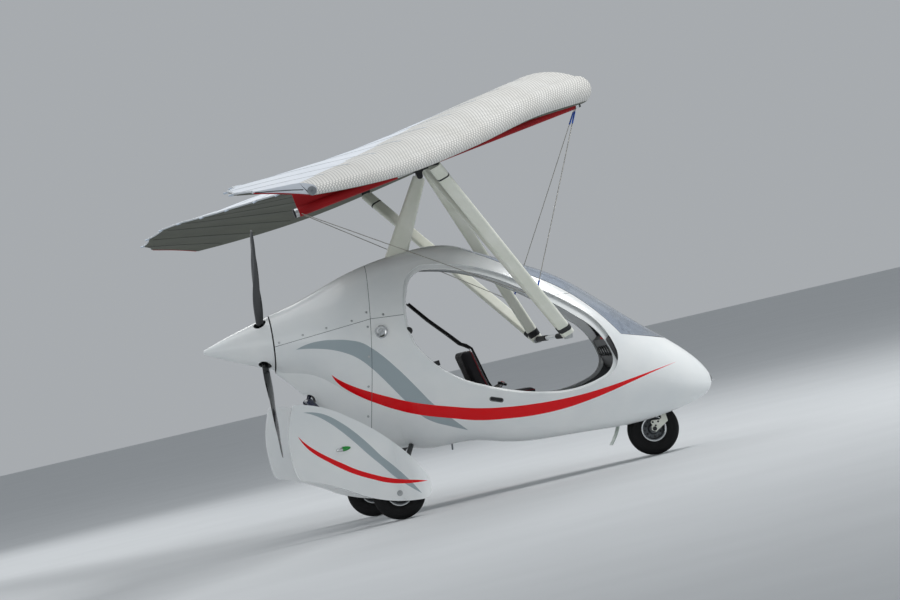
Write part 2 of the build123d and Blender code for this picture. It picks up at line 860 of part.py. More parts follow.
pitot_radius = 4.0
pitot_station = 2302.0
pitot_z = 402.0
pitot_length = 26.0
with BuildPart() as pitot_tube:
    with BuildSketch(cross_plane(pitot_station)):
        with Locations((0, pitot_z)):
            Circle(pitot_radius)
    extrude(amount=pitot_length)
    add(outer_form, mode=Mode.SUBTRACT)
save(pitot_tube, "pitot_tube")

# Mast from the roof to the hang point
hang = point(hang_station, 0, hang_z)
mast_foot = point(mast_foot_station, 0, mast_foot_z)
with BuildPart() as mast:
    with BuildSketch(along(mast_foot, hang)):
        SlotOverall(mast_foot_chord, mast_foot_width)
    with BuildSketch(along(mast_foot, hang).offset((hang - mast_foot).length - hang_pin_radius)):
        SlotOverall(mast_top_chord, mast_top_width)
    loft()
    with BuildSketch(side_plane()):
        with Locations((hang_station, hang_z)):
            Circle(mast_head_radius)
    extrude(amount=mast_top_width / 2, both=True)
    with BuildSketch(side_plane()):
        with Locations((hang_station, hang_z)):
            Circle(hang_pin_radius + running_gap)
    extrude(amount=mast_top_width, both=True, mode=Mode.SUBTRACT)
    add(outer_form, mode=Mode.SUBTRACT)
save(mast, "mast")

# Keel tube and the hang block that turns on the mast and carries the keel in its collar
keel_line = Vector(cos(radians(keel_slope)), 0, sin(radians(keel_slope)))
keel_up = Vector(-keel_line.Z, 0, keel_line.X)
keel_centre = hang + keel_up * hang_drop
keel_aft = keel_centre - keel_line * keel_aft_length
keel_front = keel_centre + keel_line * keel_front_length
cheek_half = 20.0
cheek_y = mast_top_width / 2 + hang_side_gap
with BuildPart() as hang_block:
    with BuildSketch(Plane(origin=keel_centre - keel_line * (collar_length / 2), z_dir=keel_line)):
        Circle(keel_radius + collar_wall)
    extrude(amount=collar_length)
    for side in (1, -1):
        with BuildSketch(side_plane(side * cheek_y)):
            with Locations((hang_station, hang_z)):
                Circle(cheek_half)
            with BuildLine():
                Polyline(
                    (hang_station - cheek_half, hang_z),
                    (hang_station + cheek_half, hang_z),
                    (hang_station + cheek_half, hang_z + hang_drop),
                    (hang_station - cheek_half, hang_z + hang_drop),
                    close=True,
                )
            make_face()
        extrude(amount=-side * hang_cheek)
    with BuildSketch(side_plane()):
        with Locations((hang_station, hang_z)):
            Circle(hang_pin_radius)
    extrude(amount=mast_top_width / 2 + hang_cheek + hang_pin_end, both=True)
    with BuildSketch(Plane(origin=keel_centre - keel_line * collar_length, z_dir=keel_line)):
        Circle(keel_radius + running_gap)
    extrude(amount=2 * collar_length, mode=Mode.SUBTRACT)
save(hang_block, "hang_block")

with BuildPart() as keel_tube:
    with BuildSketch(Plane(origin=keel_aft, z_dir=keel_line)):
        Circle(keel_radius)
        Circle(keel_radius - keel_wall, mode=Mode.SUBTRACT)
    extrude(amount=keel_aft_length + keel_front_length)
save(keel_tube, "keel_tube")

cap_length = 12.0
cap_lip = 1.0
with BuildPart() as keel_caps:
    with BuildSketch(Plane(origin=keel_front, z_dir=keel_line)):
        Circle(keel_radius + cap_lip)
    extrude(amount=cap_length)
    with BuildSketch(Plane(origin=keel_aft, z_dir=keel_line * -1)):
        Circle(keel_radius + cap_lip)
    extrude(amount=cap_length)
save(keel_caps, "keel_caps")
with BuildPart() as keel_room:
    with BuildSketch(Plane(origin=keel_aft - keel_line * cap_length, z_dir=keel_line)):
        Circle(keel_radius + cap_lip + fit)
    extrude(amount=keel_aft_length + keel_front_length + 2 * cap_length)


def sail_section(row):
    """Wing section in its side plane: a round nose, a crowned top, a near flat underside."""
    y, nose_station, nose_z, nose_radius, tail_station, tail_z, crest_share, crest, belly = row
    chord = hypot(nose_station - tail_station, nose_z - tail_z)
    ux, uz = (tail_station - nose_station) / chord, (tail_z - nose_z) / chord
    vx, vz = -uz, ux
    if vz < 0:
        vx, vz = -vx, -vz

    def at(share, height):
        return (nose_station + ux * share * chord + vx * height, nose_z + uz * share * chord + vz * height)

    half = trailing_thickness / 2
    nose_up = at(nose_radius * 0.9 / chord, nose_radius * 1.15)
    nose_down = at(nose_radius * 1.0 / chord, -nose_radius)
    crest_at = at(crest_share, crest)
    with BuildSketch(side_plane(y)) as section:
        with BuildLine():
            ThreePointArc(nose_down, (nose_station, nose_z), nose_up)
            ThreePointArc(nose_up, at(crest_share * 0.5, crest * 0.88), crest_at)
            ThreePointArc(crest_at, at(0.6, crest * 0.62), at(1, half))
            Line(at(1, half), at(1, -half))
            ThreePointArc(at(1, -half), at(0.5, -belly), nose_down)
        make_face()
    return section.sketch


sails = {}
for side, name in ((1, "left"), (-1, "right")):
    with BuildPart() as sail:
        loft(sections=[sail_section((side * row[0],) + row[1:]) for row in wing_rows])
        add(keel_room.part, mode=Mode.SUBTRACT)
    save(sail, f"sail_{name}")
    sails[name] = sail.part

# Control frame: base bar, corner fittings, uprights, the saddle under the keel and the wing struts
saddle_length = 56.0
saddle_half = 76.0
saddle_thickness = 12.0
saddle_round = 10.0
corner_length = 56.0
corner_width = 40.0
corner_height = 50.0
corner_round = 12.0
saddle_centre = keel_centre + keel_line * apex_forward - keel_up * (keel_radius + fit + saddle_thickness / 2)
saddle_plane = Plane(origin=saddle_centre - keel_up * (saddle_thickness / 2), x_dir=keel_line, z_dir=keel_up)
with BuildPart() as apex_saddle:
    with BuildSketch(saddle_plane):
        RectangleRounded(saddle_length, 2 * saddle_half, saddle_round)
    extrude(amount=saddle_thickness)
save(apex_saddle, "apex_saddle")

with BuildPart() as base_bar:
    with BuildSketch(side_plane()):
        with Locations((bar_station, bar_z)):
            Circle(bar_radius)
            Circle(bar_radius - bar_wall, mode=Mode.SUBTRACT)
    extrude(amount=bar_half - corner_width / 2 - fit, both=True)
save(base_bar, "base_bar")

strut_bracket_z = 2300.0
bracket_length = 60.0
bracket_width = 28.0
pocket_half = 5.0
pocket_wrap = 4.0
pocket_aft = 24.0
pocket_length = 1720.0
pocket_front_rise = 120.0
pocket_aft_rise = 143.0
pocket_wrap_length = 700.0
stay_tang_in = 20.0
corner_fittings = []
uprights = []
wing_struts = []
strut_brackets = []
stays = []
for side, name in ((1, "left"), (-1, "right")):
    corner = point(bar_station, side * bar_half, bar_z)
    with BuildPart() as corner_fitting:
        with BuildSketch(side_plane(side * bar_half)):
            with Locations((bar_station, bar_z)):
                RectangleRounded(corner_length, corner_height, corner_round)
        extrude(amount=corner_width / 2, both=True)
    corner_fittings.append(corner_fitting)
    top = saddle_plane.origin + Vector(0, side * upright_top_y, 0) + keel_up * saddle_thickness
    with BuildPart() as upright:
        with BuildSketch(along(corner, top)):
            SlotOverall(upright_chord, upright_width)
        extrude(amount=(top - corner).length)
        split(bisect_by=saddle_plane.offset(-fit), keep=Keep.BOTTOM)
        add(corner_fitting.part, mode=Mode.SUBTRACT)
        add(base_bar.part, mode=Mode.SUBTRACT)
        split(bisect_by=Plane(origin=corner, z_dir=top - corner), keep=Keep.TOP)
    uprights.append(upright)
    strut_foot = point(bar_station, side * (bar_half + strut_foot_out), bar_z + strut_foot_up)
    strut_top = point(strut_top_station, side * strut_top_y, strut_top_z)
    with BuildPart() as wing_strut:
        with BuildSketch(along(strut_foot, strut_top)):
            SlotOverall(strut_chord, strut_width)
        extrude(amount=(strut_top - strut_foot).length)
        add(corner_fitting.part, mode=Mode.SUBTRACT)
        add(upright.part, mode=Mode.SUBTRACT)
    wing_struts.append(wing_strut)
    with BuildPart() as strut_bracket:
        with BuildSketch(Plane(origin=strut_top)):
            Rectangle(bracket_length, bracket_width)
        extrude(amount=strut_bracket_z - strut_top_z)
        add(wing_strut.part, mode=Mode.SUBTRACT)
        add(sails[name], mode=Mode.SUBTRACT)
    strut_brackets.append(strut_bracket)
    catch = corner + (top - corner) * stay_catch_share
    nose_tang = keel_front - keel_line * stay_tang_in + Vector(0, side * stay_tang_in, -stay_tang_in)
    tail_tang = keel_aft + keel_line * stay_tang_in + Vector(0, side * stay_tang_in, 0)
    for tang, clear in ((nose_tang, fit), (tail_tang, pocket_wrap + fit)):
        with BuildPart() as stay:
            with BuildSketch(along(tang, catch)):
                Circle(stay_radius)
            extrude(amount=(catch - tang).length)
            with BuildSketch(Plane(origin=keel_aft - keel_line * cap_length, z_dir=keel_line)):
                Circle(keel_radius + clear)
            extrude(amount=keel_aft_length + keel_front_length + 2 * cap_length, mode=Mode.SUBTRACT)
            add(upright.part, mode=Mode.SUBTRACT)
        stays.append(stay)
save_set(corner_fittings, "corner_fittings")
save_set(uprights, "uprights")
save_set(wing_struts, "wing_struts")
save_set(strut_brackets, "strut_brackets")
save_set(stays, "stays")

# Red pocket that hangs the keel under the sail
with BuildPart() as keel_pocket:
    with BuildSketch(Plane(origin=keel_aft + keel_line * pocket_aft, z_dir=keel_line)):
        Circle(keel_radius + pocket_wrap)
    extrude(amount=pocket_wrap_length)
    with BuildSketch(Plane(origin=keel_aft + keel_line * pocket_aft, x_dir=keel_line, z_dir=(0, -1, 0))):
        with BuildLine():
            Polyline(
                (0, 0),
                (pocket_length, 0),
                (pocket_length, pocket_front_rise),
                (0, pocket_aft_rise),
                close=True,
            )
        make_face()
    extrude(amount=pocket_half, both=True)
    with BuildSketch(Plane(origin=keel_aft, z_dir=keel_line)):
        Circle(keel_radius + fit)
    extrude(amount=keel_aft_length + keel_front_length, mode=Mode.SUBTRACT)
    with BuildSketch(Plane(origin=keel_centre - keel_line * collar_length, z_dir=keel_line)):
        Circle(keel_radius + collar_wall + collar_room)
    extrude(amount=collar_length + apex_forward + saddle_length, mode=Mode.SUBTRACT)
    add(sails["left"], mode=Mode.SUBTRACT)
    add(sails["right"], mode=Mode.SUBTRACT)
save(keel_pocket, "keel_pocket")

# Fuel cap in the right side of the pod
cap_station = 173.0
cap_z = 1218.0
cap_radius = 43.0
cap_root_y = -300.0
cap_depth = 64.0
with BuildPart() as fuel_cap:
    with BuildSketch(side_plane(cap_root_y)):
        with Locations((cap_station, cap_z)):
            Circle(cap_radius)
    extrude(amount=cap_depth)
    add(outer_form, mode=Mode.SUBTRACT)
save(fuel_cap, "fuel_cap")
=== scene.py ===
"""Looks of a two-seat flex-wing microlight aircraft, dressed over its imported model.

Metres. +X is forward, +Y is the left side, +Z is up, and the wheels stand on Z = 0.
Lengths along the aircraft are stations in millimetres forward of the rear axle, as on a builder's drawing.
"""

import math

import bmesh
import bpy
import numpy as np
from mathutils import Matrix, Vector
from mathutils.bvhtree import BVHTree
from mathutils.geometry import convex_hull_2d

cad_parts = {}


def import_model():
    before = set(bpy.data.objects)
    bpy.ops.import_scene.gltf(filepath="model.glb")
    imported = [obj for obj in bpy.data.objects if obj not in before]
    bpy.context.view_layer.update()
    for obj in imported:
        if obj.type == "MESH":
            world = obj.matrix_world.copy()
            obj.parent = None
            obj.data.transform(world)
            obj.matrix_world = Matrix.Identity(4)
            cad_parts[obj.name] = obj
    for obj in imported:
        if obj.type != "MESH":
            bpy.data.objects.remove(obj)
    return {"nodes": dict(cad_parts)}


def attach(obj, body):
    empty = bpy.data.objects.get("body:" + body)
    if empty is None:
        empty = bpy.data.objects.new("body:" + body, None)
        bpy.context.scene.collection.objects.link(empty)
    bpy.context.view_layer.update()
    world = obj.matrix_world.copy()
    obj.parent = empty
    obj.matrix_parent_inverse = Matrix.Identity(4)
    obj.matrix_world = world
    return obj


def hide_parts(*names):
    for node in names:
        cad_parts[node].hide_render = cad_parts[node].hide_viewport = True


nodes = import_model()["nodes"]
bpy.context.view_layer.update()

REAR_AXLE_X = -676.0
SIDES = ((1, "left"), (-1, "right"))


def at(station, y, z):
    """Model point in metres of a station, a side distance and a height in millimetres."""
    return Vector(((REAR_AXLE_X + station) / 1000, y / 1000, z / 1000))


# Shader graphs


def linear(code):
    """Linear colour of an sRGB hex value."""
    parts = [int(code[i : i + 2], 16) / 255 for i in (1, 3, 5)]
    return [p / 12.92 if p <= 0.04045 else ((p + 0.055) / 1.055) ** 2.4 for p in parts] + [1.0]


def add_node(tree, kind, inputs=None, **settings):
    """Adds a shader node. An input is set to its value, or linked where that is another node's output."""
    made = tree.nodes.new("ShaderNode" + kind)
    for name, value in settings.items():
        setattr(made, name, value)
    for name, value in (inputs or {}).items():
        if isinstance(value, bpy.types.NodeSocket):
            tree.links.new(value, made.inputs[name])
        else:
            made.inputs[name].default_value = value
    return made


def finish(name, colour, roughness, **shader):
    """A named material with its base colour and roughness. Other values are given by their sockets' names."""
    material = bpy.data.materials.new(name)
    material.use_nodes = True
    tree = material.node_tree
    skin = tree.nodes["Principled BSDF"]
    skin.inputs["Base Color"].default_value = linear(colour)
    skin.inputs["Roughness"].default_value = roughness
    for socket, value in shader.items():
        skin.inputs[socket.replace("_", " ").title().replace("Ior", "IOR")].default_value = value
    material.diffuse_color = linear(colour)
    return material, tree, skin


def model_point(tree):
    """Output that gives each point of the surface its place in the model, in metres."""
    return add_node(tree, "TexCoord").outputs["Object"]


def feed(tree, skin, socket, output):
    """Links a node's output into the shader."""
    tree.links.new(output, skin.inputs[socket])


def mottle(tree, skin, colours, size_mm, roughness=None, detail=4.0, stretch=(1, 1, 1)):
    """Clouds between two colours, size_mm across, and a like change in roughness where a range is given."""
    where = add_node(tree, "Mapping", {"Vector": model_point(tree), "Scale": stretch}).outputs["Vector"]
    clouds = add_node(tree, "TexNoise", {"Vector": where, "Scale": 1000 / size_mm, "Detail": detail})
    share = add_node(tree, "MapRange", {"Value": clouds.outputs["Fac"], "From Min": 0.3, "From Max": 0.7})
    mix = add_node(tree, "Mix", {0: share.outputs["Result"]}, data_type="RGBA")
    mix.inputs[6].default_value = linear(colours[0])
    mix.inputs[7].default_value = linear(colours[1])
    feed(tree, skin, "Base Color", mix.outputs[2])
    if roughness:
        span = {"Value": clouds.outputs["Fac"], "To Min": roughness[0], "To Max": roughness[1]}
        feed(tree, skin, "Roughness", add_node(tree, "MapRange", span).outputs["Result"])
    return mix.outputs[2]


def relief(tree, skin, height, depth_mm, strength=1.0):
    """Bump from a height output whose full swing is depth_mm."""
    bump = add_node(tree, "Bump", {"Strength": strength, "Distance": depth_mm / 1000, "Height": height})
    feed(tree, skin, "Normal", bump.outputs["Normal"])


def grain(tree, size_mm, detail=3.0, stretch=(1, 1, 1)):
    """Noise output whose grains are size_mm across."""
    where = add_node(tree, "Mapping", {"Vector": model_point(tree), "Scale": stretch}).outputs["Vector"]
    noise = add_node(tree, "TexNoise", {"Vector": where, "Scale": 1000 / size_mm, "Detail": detail})
    return noise.outputs["Fac"]


# The wave texture turns this far, in radians, for each unit of its scale
WAVE_TURN = 20


def bands_scale(spacing_mm):
    """Scale of a wave texture whose bands lie spacing_mm apart."""
    return 2 * math.pi / WAVE_TURN / (spacing_mm / 1000)


def maths(tree, operation, first, second=0.0, third=0.0):
    """Output of one arithmetic step."""
    return add_node(tree, "Math", {0: first, 1: second, 2: third}, operation=operation).outputs[0]


def edge_line(tree, along, edge):
    """Height in metres of a stripe's edge at each station. Each row of the edge: station, height."""
    stations, heights = zip(*edge)
    start, end = stations[0], stations[-1]
    low, high = min(heights), max(heights)
    span = {"Value": along, "From Min": at(start, 0, 0).x, "From Max": at(end, 0, 0).x}
    curve = add_node(tree, "FloatCurve", {"Value": add_node(tree, "MapRange", span).outputs["Result"]})
    line = curve.mapping.curves[0]
    while len(line.points) < len(edge):
        line.points.new(0.5, 0.5)
    for spot, (station, height) in zip(line.points, edge):
        spot.location = ((station - start) / (end - start), (height - low) / (high - low))
    curve.mapping.update()
    return maths(tree, "MULTIPLY_ADD", curve.outputs["Value"], (high - low) / 1000, low / 1000)


def stripe(tree, lower, upper):
    """Mask of a painted stripe between its lower and its upper edge."""
    split = add_node(tree, "SeparateXYZ", {"Vector": model_point(tree)})
    along, height = split.outputs["X"], split.outputs["Z"]
    over = maths(tree, "GREATER_THAN", height, edge_line(tree, along, lower))
    under = maths(tree, "LESS_THAN", height, edge_line(tree, along, upper))
    after = maths(tree, "GREATER_THAN", along, at(upper[0][0], 0, 0).x)
    before = maths(tree, "LESS_THAN", along, at(upper[-1][0], 0, 0).x)
    between_edges = maths(tree, "MULTIPLY", over, under)
    return maths(tree, "MULTIPLY", between_edges, maths(tree, "MULTIPLY", after, before))


def seam(tree, low, high, half_mm):
    """Mask of a straight joint between two side-view points."""
    run, rise = high[0] - low[0], high[1] - low[1]
    length = math.hypot(run, rise)
    split = add_node(tree, "SeparateXYZ", {"Vector": model_point(tree)})
    start = at(low[0], 0, low[1])
    forward = maths(tree, "MULTIPLY", maths(tree, "SUBTRACT", split.outputs["X"], start.x), rise / length)
    upward = maths(tree, "MULTIPLY", maths(tree, "SUBTRACT", split.outputs["Z"], start.z), run / length)
    across = maths(tree, "ABSOLUTE", maths(tree, "SUBTRACT", forward, upward))
    return maths(tree, "LESS_THAN", across, half_mm / 1000)


def painted(tree, ground, mask, colour):
    """Colour output with one colour laid over the ground where the mask is one."""
    mix = add_node(tree, "Mix", {0: mask}, data_type="RGBA")
    tree.links.new(ground, mix.inputs[6])
    mix.inputs[7].default_value = linear(colour)
    return mix.outputs[2]


SIGNAL_RED = "#E8000E"
SEA_GREY = "#A6B3B8"
GEL_WHITE = ("#E9EDEE", "#F3F5F4")
SEAM_GREY, SEAM_HALF = "#5C6266", 1.6
LINING_GREY = "#3A3D40"

# Stripes, each as its lower and its upper edge of (station, height)
POD_RED = (
    [(-198, 1014), (-161, 940), (-108, 883), (-34, 821), (51, 762), (158, 697), (299, 629), (496, 560),
     (702, 498), (867, 471), (1051, 452), (1239, 450), (1400, 464), (1564, 489), (1729, 521), (1895, 553),
     (2075, 582)],
    [(-198, 1014), (-138, 955), (-54, 893), (33, 841), (131, 788), (251, 729), (375, 680), (509, 636),
     (702, 580), (867, 549), (1051, 527), (1239, 516), (1400, 516), (1564, 526), (1729, 543), (1895, 562),
     (2075, 582)],
)
POD_GREY = (
    [(-390, 1229), (-326, 1220), (-243, 1200), (-162, 1173), (-93, 1139), (-26, 1093), (63, 994), (105, 933),
     (155, 855), (214, 763), (319, 615), (387, 560), (488, 508), (603, 454)],
    [(-390, 1229), (-321, 1246), (-232, 1250), (-127, 1234), (-44, 1211), (27, 1180), (87, 1128), (144, 1064),
     (204, 983), (263, 897), (330, 792), (398, 686), (500, 565), (603, 454)],
)
SPAT_RED = (
    [(-569, 683), (-532, 602), (-481, 538), (-408, 472), (-333, 410), (-257, 357), (-159, 303), (-59, 256),
     (44, 228), (128, 217), (193, 212)],
    [(-569, 683), (-527, 623), (-474, 567), (-400, 503), (-325, 447), (-249, 391), (-151, 335), (-51, 287),
     (49, 253), (128, 232), (193, 212)],
)
SPAT_GREY = (
    [(-500, 824), (-424, 784), (-359, 730), (-288, 653), (-220, 566), (-144, 460), (-76, 372), (-17, 292),
     (60, 208), (133, 142)],
    [(-500, 824), (-419, 805), (-350, 769), (-276, 706), (-205, 629), (-129, 528), (-63, 430), (-2, 355),
     (70, 250), (133, 142)],
)
# Joints in the skin, each as two side-view points
FIREWALL = ((-14, 620), (195, 1669))
COWL_SPLIT = ((-540, 1277), (128, 1317))
DOOR_SEAM = ((128, 1317), (345, 1296))
# In metres: the pod's middle line runs level through the cabin and then falls to the nose
POD_AXIS_Z, AXIS_FALL_X, AXIS_FALL = 0.95, 0.35, 0.42


def faces_inward(tree):
    """Mask of the faces that are turned to the pod's middle line, which are the inside of its skin."""
    place = add_node(tree, "SeparateXYZ", {"Vector": model_point(tree)})
    facing = add_node(tree, "SeparateXYZ", {"Vector": add_node(tree, "TexCoord").outputs["Normal"]})
    ahead = maths(tree, "MAXIMUM", maths(tree, "SUBTRACT", place.outputs["X"], AXIS_FALL_X), 0.0)
    level_rise = maths(tree, "SUBTRACT", place.outputs["Z"], POD_AXIS_Z)
    rise = maths(tree, "MULTIPLY_ADD", ahead, AXIS_FALL, level_rise)
    sideways = maths(tree, "MULTIPLY", place.outputs["Y"], facing.outputs["Y"])
    outward = maths(tree, "MULTIPLY_ADD", rise, facing.outputs["Z"], sideways)
    return maths(tree, "LESS_THAN", outward, 0.0)


def gelcoat(name, reds=None, greys=None, seams=(), inner_y=None, lined=False):
    """Polished white gel coat over glass fibre: even, glossy, with a soft ripple in its reflections.

    Stripes stop inside inner_y, so that they don't show on a face that is turned to the middle, and a lined
    skin is grey on its inside.
    """
    material, tree, skin = finish(name, GEL_WHITE[1], 0.2, specular_ior_level=0.35)
    ground = mottle(tree, skin, GEL_WHITE, 320, roughness=(0.13, 0.22))
    for shape, colour in ((greys, SEA_GREY), (reds, SIGNAL_RED)):
        if not shape:
            continue
        mask = stripe(tree, *shape)
        if inner_y:
            side_way = add_node(tree, "SeparateXYZ", {"Vector": model_point(tree)}).outputs["Y"]
            outer = maths(tree, "GREATER_THAN", maths(tree, "ABSOLUTE", side_way), inner_y / 1000)
            mask = maths(tree, "MULTIPLY", mask, outer)
        ground = painted(tree, ground, mask, colour)
    for low, high in seams:
        ground = painted(tree, ground, seam(tree, low, high, SEAM_HALF), SEAM_GREY)
    if lined:
        ground = painted(tree, ground, faces_inward(tree), LINING_GREY)
    feed(tree, skin, "Base Color", ground)
    relief(tree, skin, grain(tree, 90, detail=1.0), 0.35)
    return material


pod_gelcoat = gelcoat("livery_gelcoat", POD_RED, POD_GREY, [FIREWALL, DOOR_SEAM], lined=True)
cowl_gelcoat = gelcoat("cowl_gelcoat", POD_RED, POD_GREY, [FIREWALL, COWL_SPLIT])
spat_gelcoat = gelcoat("spat_gelcoat", SPAT_RED, SPAT_GREY, inner_y=868)
plain_gelcoat = gelcoat("plain_gelcoat")


def surfaced(name, colour, roughness, clouds, size_mm, worn=None, grit=None, stretch=(1, 1, 1), **shader):
    """A finish that clouds between two colours, with a range of roughness in worn, from polished to dull.

    Grit gives the size and the height, in millimetres, of the fine relief that catches the light.
    """
    material, tree, skin = finish(name, colour, roughness, **shader)
    mottle(tree, skin, clouds, size_mm, roughness=worn, stretch=stretch)
    if grit:
        relief(tree, skin, grain(tree, grit[0]), grit[1])
    return material


# Powder-coated aluminium struts: white, smooth, with a slight orange peel. The white's faint yellow-green
# tint is a painted reflection of grass.
powder_coat = surfaced(
    "powder_coat_painted_grass_reflection", "#ECEEE1", 0.3, ("#E3E6D7", "#F1F2E8"), 180, (0.26, 0.36), (6, 0.05)
)
# Clear anodised tube: pale satin metal drawn along its length
anodised_tube = surfaced(
    "anodised_aluminium_tube", "#C9CCCE", 0.32, ("#C2C6C8", "#D3D5D6"), 60, (0.27, 0.38), stretch=(0.1, 1, 1),
    metallic=1.0,
)
# Cast and machined aluminium of wheels and fittings: satin metal with fine pits
cast_aluminium = surfaced(
    "cast_aluminium", "#B9BCBD", 0.38, ("#A9ADAF", "#C6C8C8"), 25, (0.3, 0.46), (2.5, 0.06), metallic=1.0
)
# Sand-cast magnesium of the wheel webs: dark grey, with the grain of the mould
rim_casting = surfaced(
    "cast_magnesium", "#6B6E71", 0.55, ("#5C5F62", "#787B7E"), 22, (0.48, 0.66), (2.0, 0.08), metallic=0.85
)
# Turned alloy rings and caps: bright metal with fine marks of the tool
polished_alloy = surfaced(
    "polished_alloy", "#D2D4D5", 0.18, ("#C6C9CA", "#DEE0E0"), 18, (0.12, 0.26), metallic=1.0
)
# Black painted steel brackets: satin black that goes grey in places
black_steel = surfaced(
    "black_painted_steel", "#1D1F21", 0.42, ("#161819", "#26292B"), 40, (0.36, 0.5), coat_weight=0.15
)
# Dark blue enamel of the dampers: glossy, with a clear depth
blue_enamel = surfaced(
    "dark_blue_enamel", "#141C33", 0.25, ("#111830", "#1A2342"), 60, (0.2, 0.32), coat_weight=0.4
)
# Moulded black ABS: even, faintly leather-grained
black_abs = surfaced(
    "moulded_black_abs", "#18191B", 0.5, ("#151617", "#202224"), 70, (0.44, 0.58), (1.6, 0.08)
)
# Grey moulded ABS of plugs and end caps: even and half matt
grey_abs = surfaced("moulded_grey_abs", "#7C8185", 0.45, ("#747A7E", "#868B8F"), 30, (0.38, 0.52))
# Pale blue nylon of the batten tips: smooth and a little waxy
tip_plastic = surfaced("pale_nylon", "#BCC8D6", 0.38, ("#B1BECD", "#C8D2DE"), 20, (0.32, 0.44))
# Blue heat-shrink sleeve over the swaged wire ends: smooth and half glossy
blue_sleeve = surfaced("blue_heat_shrink_sleeve", "#1E55B8", 0.35, ("#184AA6", "#2A63C8"), 15, (0.28, 0.42))
# Closed-cell foam of the bar grips: dull black with fine pits
foam_grip = surfaced("black_foam_grip", "#141415", 0.85, ("#101011", "#1C1C1E"), 12, (0.78, 0.92), (1.5, 0.3))
# Red moulded ABS of the lever knob and the belt buckle's button: bright and glossy
red_abs = surfaced("bright_red_abs", "#D8121C", 0.3, ("#C90E18", "#E41C26"), 15, (0.24, 0.36))
# Printed dial faces under glass: matt black below a clear shine
dial_face = surfaced(
    "matt_black_dial", "#0E0F10", 0.35, ("#0C0D0E", "#121315"), 20, (0.3, 0.4), coat_weight=1.0,
    coat_roughness=0.02,
)
# Dial marks and needles: white print
dial_mark = surfaced("white_dial_print", "#E8E8E2", 0.5, ("#E0E0DA", "#F0F0EA"), 10, (0.45, 0.55))
# Dark grey lining of painted glass fibre inside the pod: matt with the weave showing
cabin_lining = surfaced(
    "painted_glass_fibre_lining", LINING_GREY, 0.62, ("#34373A", "#424649"), 50, (0.55, 0.7), (3, 0.15)
)
# Acrylic screen: clear, faintly blue, very smooth
acrylic = surfaced(
    "clear_acrylic", "#F2F7FE", 0.05, ("#ECF3FE", "#F8FBFE"), 400, transmission_weight=1.0, ior=1.49
)
# Black tyre rubber: dull, dusty in the sidewall's fine texture
tyre_rubber = surfaced(
    "tyre_rubber", "#0F0F10", 0.75, ("#0B0B0C", "#171718"), 35, (0.66, 0.86), (2.0, 0.12),
    specular_ior_level=0.3,
)
# Carbon-filled propeller blade, painted gloss black: deep, with long soft reflections
blade_black = surfaced(
    "gloss_black_composite", "#101113", 0.2, ("#0D0E10", "#17191C"), 120, (0.15, 0.28), coat_weight=0.5
)
# Engine: cast alloy with a matt, heat-dulled skin
engine_alloy = surfaced(
    "dull_engine_casting", "#6A6C6E", 0.6, ("#56585A", "#7C7E80"), 30, (0.5, 0.72), (3, 0.2), metallic=0.8
)
# Coloured lamp lenses: clear moulded plastic, tinted right through
green_lens, red_lens = [
    surfaced(name, colour, 0.12, clouds, 20, (0.08, 0.16), transmission_weight=0.35, ior=1.5)
    for name, colour, clouds in (
        ("green_lamp_lens", "#1E9A3A", ("#148A30", "#3DBB55")),
        ("red_lamp_lens", "#B3161C", ("#A01018", "#CC2A2A")),
    )
]
# Pale translucent plastic of the mud flap: soft and half matt
flap_plastic = surfaced("pale_flexible_plastic", "#B9C6BC", 0.45, ("#ADBBB0", "#C6D1C8"), 30, (0.38, 0.52))

# Stranded stainless wire: bright, with its lay showing as slanting bands. The lay is drawn 6 mm apart,
# coarser than the real wire's, so that it shows.
stay_wire, tree, skin = finish("stranded_stainless_wire", "#A9A79F", 0.35, metallic=1.0)
lay_inputs = {"Vector": model_point(tree), "Scale": bands_scale(6), "Distortion": 0.5}
lay = add_node(tree, "TexWave", lay_inputs, bands_direction="DIAGONAL")
mottle(tree, skin, ("#8E8B82", "#BEBCB5"), 8, roughness=(0.3, 0.45))
relief(tree, skin, lay.outputs["Fac"], 0.4)


def cloth(name, light, dark, spacing_mm, roughness, sheen=0.1, wrinkle_mm=0.6):
    """Woven sailcloth: a fine plain weave, soft folds and a low sheen."""
    material, tree, skin = finish(name, light, roughness, sheen_weight=sheen, specular_ior_level=0.3)
    mottle(tree, skin, (dark, light), 240, roughness=(roughness - 0.05, roughness + 0.06))
    threads = []
    for way in ("X", "Y"):
        lines = {"Vector": model_point(tree), "Scale": bands_scale(spacing_mm)}
        threads.append(add_node(tree, "TexWave", lines, bands_direction=way).outputs["Fac"])
    weave = maths(tree, "MULTIPLY", maths(tree, "MULTIPLY", *threads), 0.25)
    folds = maths(tree, "MULTIPLY_ADD", grain(tree, 260, detail=2.0), 6.0, weave)
    relief(tree, skin, folds, wrinkle_mm)
    return material


# Laminated sailcloth of the leading panel: polyester film over slanting scrim threads 24 mm apart. The real
# threads are finer, and are drawn this coarse so that the pattern shows.
SCRIM_SPACING = 24.0
SCRIM_SLANT = 0.55
SCRIM_SHARPNESS = 3.0
SCRIM_SHOW = 0.85
scrim_cloth, tree, skin = finish("laminated_scrim_sailcloth", "#ECEAE4", 0.4, specular_ior_level=0.3)
ground = mottle(tree, skin, ("#E6E4DD", "#F0EFEA"), 300, roughness=(0.3, 0.4))
threads = []
for turn in (SCRIM_SLANT, -SCRIM_SLANT):
    along_cloth = add_node(tree, "TexCoord").outputs["UV"]
    slanted = add_node(tree, "Mapping", {"Vector": along_cloth, "Rotation": (0, 0, turn)}).outputs["Vector"]
    lines = {"Vector": slanted, "Scale": bands_scale(SCRIM_SPACING), "Distortion": 0.0}
    bands = add_node(tree, "TexWave", lines, bands_direction="Y")
    threads.append(maths(tree, "POWER", bands.outputs["Fac"], SCRIM_SHARPNESS))
lattice = maths(tree, "MAXIMUM", *threads)
